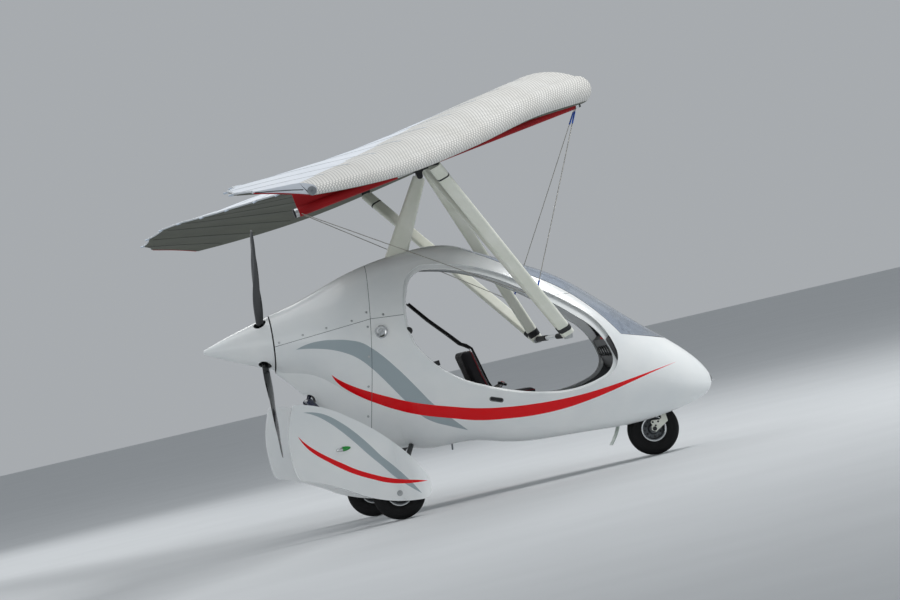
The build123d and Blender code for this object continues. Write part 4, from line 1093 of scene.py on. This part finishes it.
# The pod's slope is taken between these two distances outside the edge, and followed up to a limit
SLOPE_SPOTS, STEEPEST = (4, 34), 0.9
opening = []
for (first, middle, width), (last, _, next_width) in zip(OPENING_ARCS, OPENING_ARCS[1:] + OPENING_ARCS[:1]):
    spots = arc(first, middle, last, ARC_STEPS)
    for k in range(ARC_STEPS):
        opening.append((spots[k], width + (next_width - width) * k / ARC_STEPS))
for side, name in SIDES:
    points, inner_path = [], []
    count = len(opening)
    for k in range(count):
        (station, z), width = opening[k]
        (ahead, _), (behind, _) = opening[(k + 1) % count], opening[k - 1]
        run = Vector((ahead[0] - behind[0], ahead[1] - behind[1])).normalized()
        inward = Vector((run.y, -run.x))
        skin_y = []
        for d in SLOPE_SPOTS:
            skin_y.append(skin_spot(pod_skin, side, station - inward.x * d, z - inward.y * d)[0].y)
        edge_y = abs(skin_y[0]) * 1000
        slope = (edge_y - abs(skin_y[1]) * 1000) / (SLOPE_SPOTS[1] - SLOPE_SPOTS[0])
        inner_y = edge_y + min(max(slope, -STEEPEST), STEEPEST) * width * 0.7
        ring = [
            (-5, edge_y - 7.5), (1, edge_y - 9), (3, edge_y - 14), (width, inner_y - 18),
            (width + 3, inner_y - 21), (width + 2, inner_y - 30), (width - 2, inner_y - 30),
            (width - 2, inner_y - 22), (0, edge_y - 18), (-5, edge_y - 13),
        ]
        for d, y in ring:
            points.append(at(station + inward.x * d, side * y, z + inward.y * d))
        inner = width + 1
        inner_path.append(at(station + inward.x * inner, side * (inner_y - 25), z + inward.y * inner))
    faces = [tuple(i % len(points) for i in face) for face in grid_faces(count + 1, len(ring), wrap=True)]
    mesh_piece(f"opening_flange_{name}", (points, faces), [plain_gelcoat], "trike")
    edging = tube(inner_path, 3.0, closed=True, rounds=8)
    mesh_piece(f"opening_edging_{name}", edging, [black_abs], "trike")

# Small fittings seen through the opening: a belt reel behind the seats and the tab of a belt below it
REEL_PROFILE = [(-20, 0), (-20, 22), (-18, 25), (8, 25), (10, 22), (10, 0)]
for side, name in SIDES:
    wall = abs(skin_spot(pod_skin, side, 330, 1190)[0].y) * 1000
    reel = turned(REEL_PROFILE, at(354, side * (wall - 24), 1184), (0, side, 0), 32)
    mesh_piece(f"belt_reel_{name}", reel, [black_abs], "trike")
    wall = abs(skin_spot(pod_skin, side, 440, 930)[0].y) * 1000
    ends = [at(station, side * (wall - 22), z) for station, z in ((446, 930), (504, 934))]
    tab = strap(ends, 34, 10, across=(0.2, 0, 1))
    mesh_piece(f"belt_tab_{name}", tab, [black_abs], "trike")

# Screws and fittings on the skin
SCREW_SPOTS = [
    (-486, 1299), (-327, 1313), (-169, 1323), (3, 1331), (110, 1364), (214, 1326), (95, 1269), (58, 1076),
    (16, 885), (-22, 692),
]
SCREW_PROFILE = [(-1, 8), (1.2, 8), (2.4, 6.4), (2.8, 4), (1.4, 3.4), (1.4, 0)]
for side, name in SIDES:
    heads = []
    for station, z in SCREW_SPOTS:
        spot, normal = skin_spot(pod_skin, side, station, z)
        heads.append(turned(SCREW_PROFILE, spot, normal, 20))
    mesh_piece(f"cowl_screws_{name}", joined(heads), [cast_aluminium], "trike")

# Fuel cap: a bright ring round a sunk face with a grip across it
CAP_STATION, CAP_Z = 173, 1218
CAP_PROFILE = [(-26, 43), (0, 43), (2, 41), (2, 35.5), (-1, 33), (-3, 22), (-1, 20), (-0.5, 0)]
cap_form = turned(CAP_PROFILE, at(CAP_STATION, -363, CAP_Z), (0, -1, 0), 64)
cap = mesh_piece("fuel_cap_ring", cap_form, [polished_alloy], "trike")
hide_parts("fuel_cap")
grip_ends = [at(CAP_STATION + sign * 18, -366, CAP_Z + sign * 10) for sign in (-1, 1)]
mesh_piece("fuel_cap_grip", strap(grip_ends, 9, 7, across=(0, 0, 1)), [cast_aluminium], "trike")

# Vent slot under the seats: a thin frame round a flat black face, painted shade for the dark hole of the slot
SLOT_ENDS, SLOT_HALF = ((774, 628), (862, 594)), 15.0
# Rows of the frame from its outer edge into the slot: growth of the outline and lift from the skin
FRAME_ROWS = ((0, 1.2), (-2.5, 1.8), (-4, -1.0))
run = (Vector(SLOT_ENDS[1]) - Vector(SLOT_ENDS[0])).normalized()
rise = Vector((-run.y, run.x))
for side, name in SIDES:
    rows = []
    for grow, lift in FRAME_ROWS:
        ring = []
        for (station, z), sign in zip(SLOT_ENDS, (-1, 1)):
            for k in range(11):
                angle = math.pi * (k / 10 - 0.5)
                out = (run * sign * math.cos(angle) + rise * sign * math.sin(angle)) * (SLOT_HALF + grow)
                inset = station - sign * run.x * SLOT_HALF, z - sign * run.y * SLOT_HALF
                spot, normal = skin_spot(pod_skin, side, inset[0] + out.x, inset[1] + out.y)
                ring.append(spot + normal * lift / 1000)
        rows.append(ring)
    count = len(rows[0])
    frame = [p for ring in rows for p in ring], grid_faces(len(rows), count, wrap=True)
    mesh_piece(f"vent_frame_{name}", frame, [black_steel], "trike")
    # The slot is closed by a flat black face: painted shade, not a part
    slot = [p + Vector((0, side * 0.0016, 0)) for p in rows[2]], [tuple(range(count))]
    mesh_piece(f"vent_slot_painted_shade_{name}", slot, [black_abs], "trike", smooth=False)

# Bolt recess of each main axle in the spat's outer face, and the lamps in their chrome housings
SPAT_FACE_Y = 884
RECESS_PROFILE = [(-0.5, 19), (1.5, 19), (1.5, 16), (0.4, 15), (0.4, 9), (4.5, 9), (4.5, 0)]
LAMP_PROFILE = [(-1, 15.5), (4, 15.5), (6, 14.6), (10, 12.6), (12.8, 9.2), (14.2, 4.6), (14.6, 0)]
# The housing is chrome round its foot, up to this height above the spat, and behind this line
CHROME_FOOT, CHROME_BEHIND = 0.0045, 0.006
for side, name in SIDES:
    recess = turned(RECESS_PROFILE, at(-4, side * SPAT_FACE_Y, 174), (0, side, 0), 36)
    mesh_piece(f"axle_recess_{name}", recess, [cast_aluminium], "trike")
    lamp_spot = at(-299, side * SPAT_FACE_Y, 536)
    housing = turned(LAMP_PROFILE, lamp_spot, (0, side, 0), 48, 3.15, (1, 0, 0))
    picks = []
    for face in housing[1]:
        middle = sum((housing[0][i] for i in face), Vector()) / len(face)
        low = abs(middle.y) < SPAT_FACE_Y / 1000 + CHROME_FOOT
        picks.append(1 if low or middle.x < lamp_spot.x - CHROME_BEHIND else 0)
    finishes = [green_lens if side < 0 else red_lens, polished_alloy]
    lamp = mesh_piece(f"nav_lamp_housing_{name}", housing, finishes, "trike", picks)
    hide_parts(f"nav_lamp_{name}")

# Drain stub under the belly and the dark disc that the air-speed tube comes through
belly_stub = tube([at(500, -60, 392), at(494, -60, 346)], 6.0, rounds=12)
mesh_piece("belly_stub", belly_stub, [grey_abs], "trike")
nose_disc = turned([(-14, 28), (0, 27), (3, 22), (4, 10), (7, 6), (7, 4)], at(2306, 0, 420), (1, 0, 0), 40)
mesh_piece("nose_disc", nose_disc, [black_abs], "trike")

# Control frame: black end bands on the uprights and struts, a ring round each strut near the wing, and blue
# sleeves on the ends of the front wires
KEEL_SLOPE = math.radians(8.44)
keel_line = Vector((math.cos(KEEL_SLOPE), 0, math.sin(KEEL_SLOPE)))
keel_up = Vector((-keel_line.z, 0, keel_line.x))
HANG_DROP, KEEL_RADIUS, KEEL_GAP, SADDLE_PLATE = 0.070, 0.030, 0.0003, 0.012
keel_centre = at(697, 0, 2170) + keel_up * HANG_DROP
saddle = keel_centre + keel_line * 0.064 - keel_up * (KEEL_RADIUS + KEEL_GAP + SADDLE_PLATE)
BAR_STATION, BAR_Z, BAR_HALF = 1325, 925, 720
# Each section: its chord and its width
UPRIGHT_BAND, STRUT_BAND, STRUT_RING = (79, 37), (87, 43), (86.5, 42.5)
# Each sleeve of a front wire, in metres from its end
NOSE_SLEEVE, CATCH_SLEEVE = (0.035, 0.125), (0.120, 0.052)
bands, sleeves, rings = [], [], []
for side, _ in SIDES:
    corner = at(BAR_STATION, side * BAR_HALF, BAR_Z)
    top = saddle + Vector((0, side * 0.046, 0)) + keel_up * SADDLE_PLATE
    foot = at(BAR_STATION, side * (BAR_HALF + 34), BAR_Z + 12)
    head = at(551, side * 2000, 2168)
    bands.append(slot_tube(corner, top, 36, 84, *UPRIGHT_BAND))
    bands.append(slot_tube(foot, head, 40, 82, *STRUT_BAND))
    length = (head - foot).length * 1000
    rings.append(slot_tube(foot, head, length - 128, length - 116, *STRUT_RING))
    catch = corner + (top - corner) * 0.225
    nose_tang = keel_centre + keel_line * (1.172 - 0.020) + Vector((0, side * 0.020, -0.020))
    way = (catch - nose_tang).normalized()
    sleeves.append(tube([nose_tang + way * far for far in NOSE_SLEEVE], 5.5, rounds=12))
    sleeves.append(tube([catch - way * far for far in CATCH_SLEEVE], 5.5, rounds=12))
mesh_piece("upright_end_bands", joined(bands), [black_abs], "wing")
mesh_piece("strut_rings", joined(rings), [black_abs], "wing")
mesh_piece("wire_sleeves", joined(sleeves), [blue_sleeve], "wing")
# Black cheek plates beside the keel, where the saddle and the uprights meet
CHEEK_OUTLINE = [(656, 2204), (700, 2193), (800, 2204), (812, 2226), (660, 2222)]
cheeks = joined([plate(CHEEK_OUTLINE, sign, 45, 49) for sign in (1, -1)])
mesh_piece("apex_plates", cheeks, [black_steel], "wing", smooth=False)
grips = []
for sign in (1, -1):
    grip = [at(BAR_STATION, sign * y, BAR_Z) for y in range(250, 681, 10)]
    grips.append(tube(grip, 18.5, rounds=24))
mesh_piece("bar_grips", joined(grips), [foam_grip], "wing")

# Red cloth sleeve on the front of the keel, closed up to the sail
sleeve_run = [keel_centre + keel_line * far for far in (0.125, 0.4, 0.8, 1.150)]
web = [spot + keel_up * 0.040 for spot in sleeve_run]
keel_sleeve = joined([tube(sleeve_run, 32.5, rounds=28), strap(web, 7, 60)])
mesh_piece("keel_sleeve", keel_sleeve, [red_cloth], "wing")

# Three-bolt plates of the nose fork, and the ends of its axle
PLATE_BOLTS = [(1846, 220), (1883, 217), (1861, 194)]
PLATE_ROUND, PLATE_THICKNESS, FORK_FACE_Y = 13.0, 4.0, 66.0
BOLT_HEAD = [(-1, 7), (4, 7), (5.5, 5.5), (5.5, 0)]
AXLE_END = [(-2, 14), (3, 14), (3, 10), (9, 10), (10, 8), (10, 0)]
plate_face_y = FORK_FACE_Y + PLATE_THICKNESS
rim_points = []
for station, z in PLATE_BOLTS:
    for ahead, above in circle(24):
        rim_points.append(Vector((station + PLATE_ROUND * ahead, z + PLATE_ROUND * above)))
hull = [rim_points[i] for i in convex_hull_2d(rim_points)]
fork_plates, fork_bolts = [], []
for sign in (1, -1):
    fork_plates.append(plate(hull, sign, FORK_FACE_Y, plate_face_y))
    for station, z in PLATE_BOLTS:
        fork_bolts.append(turned(BOLT_HEAD, at(station, sign * plate_face_y, z), (0, sign, 0), 6))
    fork_bolts.append(turned(AXLE_END, at(1850, sign * 74, TYRE_RADIUS), (0, sign, 0), 24))
mesh_piece("fork_plates", joined(fork_plates), [powder_coat], "steering", smooth=False)
mesh_piece("fork_bolts", joined(fork_bolts), [black_steel], "steering")


# Studio: a pale floor and soft light
floor_paint, tree, skin = finish("pale_studio_floor", "#C6C9CB", 0.8, specular_ior_level=0.2)
mottle(tree, skin, ("#C4C7C9", "#C8CBCD"), 900)
FLOOR_REACH = 60.0
floor_mesh = bpy.data.meshes.new("studio_floor")
floor_corners = [(x * FLOOR_REACH, y * FLOOR_REACH, 0) for x, y in ((-1, -1), (1, -1), (1, 1), (-1, 1))]
floor_mesh.from_pydata(floor_corners, [], [(0, 1, 2, 3)])
floor_mesh.materials.append(floor_paint)
floor = bpy.data.objects.new("studio_floor", floor_mesh)
floor.location.z = -0.001
bpy.context.scene.collection.objects.link(floor)

# Each lamp: name, place in metres, size in metres, power in watts
LAMPS = [
    ("key", (9.0, -2.0, 12.0), 5.0, 1250.0),
    ("fill", (-9.0, -11.0, 4.0), 7.0, 200.0),
    ("top", (-1.0, 2.0, 12.0), 8.0, 300.0),
    ("back", (-4.0, 11.0, 6.0), 6.0, 260.0),
]
LAMP_AIM_Z = 1.2
for name, place, size, power in LAMPS:
    lamp = bpy.data.lights.new(name, "AREA")
    lamp.size = size
    lamp.energy = power
    lamp_object = bpy.data.objects.new(name, lamp)
    lamp_object.location = place
    aim = Vector((0, 0, LAMP_AIM_Z)) - Vector(place)
    lamp_object.rotation_euler = aim.to_track_quat("-Z", "Y").to_euler()
    bpy.context.scene.collection.objects.link(lamp_object)

bpy.context.scene.view_settings.view_transform = "Standard"
world = bpy.data.worlds.new("studio")
bpy.context.scene.world = world
world.use_nodes = True
sky = world.node_tree.nodes["Background"]
sky.inputs["Color"].default_value = linear("#E4E9EE")
sky.inputs["Strength"].default_value = 0.5

# Camera at the photograph's place: from the right side and a little behind, level, with the picture turned
# so that the nose points up as in flight.
AZIMUTH = math.radians(-7.2)
ELEVATION = math.radians(0.05)
ROLL = math.radians(13.0)
DISTANCE = 35.0
PIXELS_PER_METRE = 150.0
PICTURE_WIDTH = 900
target = Vector((0.034, 0, 1.32))
level = math.cos(ELEVATION)
back = Vector((math.sin(AZIMUTH) * level, -math.cos(AZIMUTH) * level, math.sin(ELEVATION)))
level_right = Vector((math.cos(AZIMUTH), math.sin(AZIMUTH), 0))
level_up = back.cross(level_right)
right = level_right * math.cos(ROLL) - level_up * math.sin(ROLL)
up = level_right * math.sin(ROLL) + level_up * math.cos(ROLL)
camera_data = bpy.data.cameras.new("photograph")
camera_data.sensor_width = 36.0
camera_data.lens = PIXELS_PER_METRE * DISTANCE * camera_data.sensor_width / PICTURE_WIDTH
camera_data.clip_end = 200.0
camera = bpy.data.objects.new("photograph", camera_data)
turn = Matrix((right, up, back)).transposed().to_4x4()
camera.matrix_world = Matrix.Translation(target + back * DISTANCE) @ turn
bpy.context.scene.collection.objects.link(camera)
bpy.context.scene.camera = camera
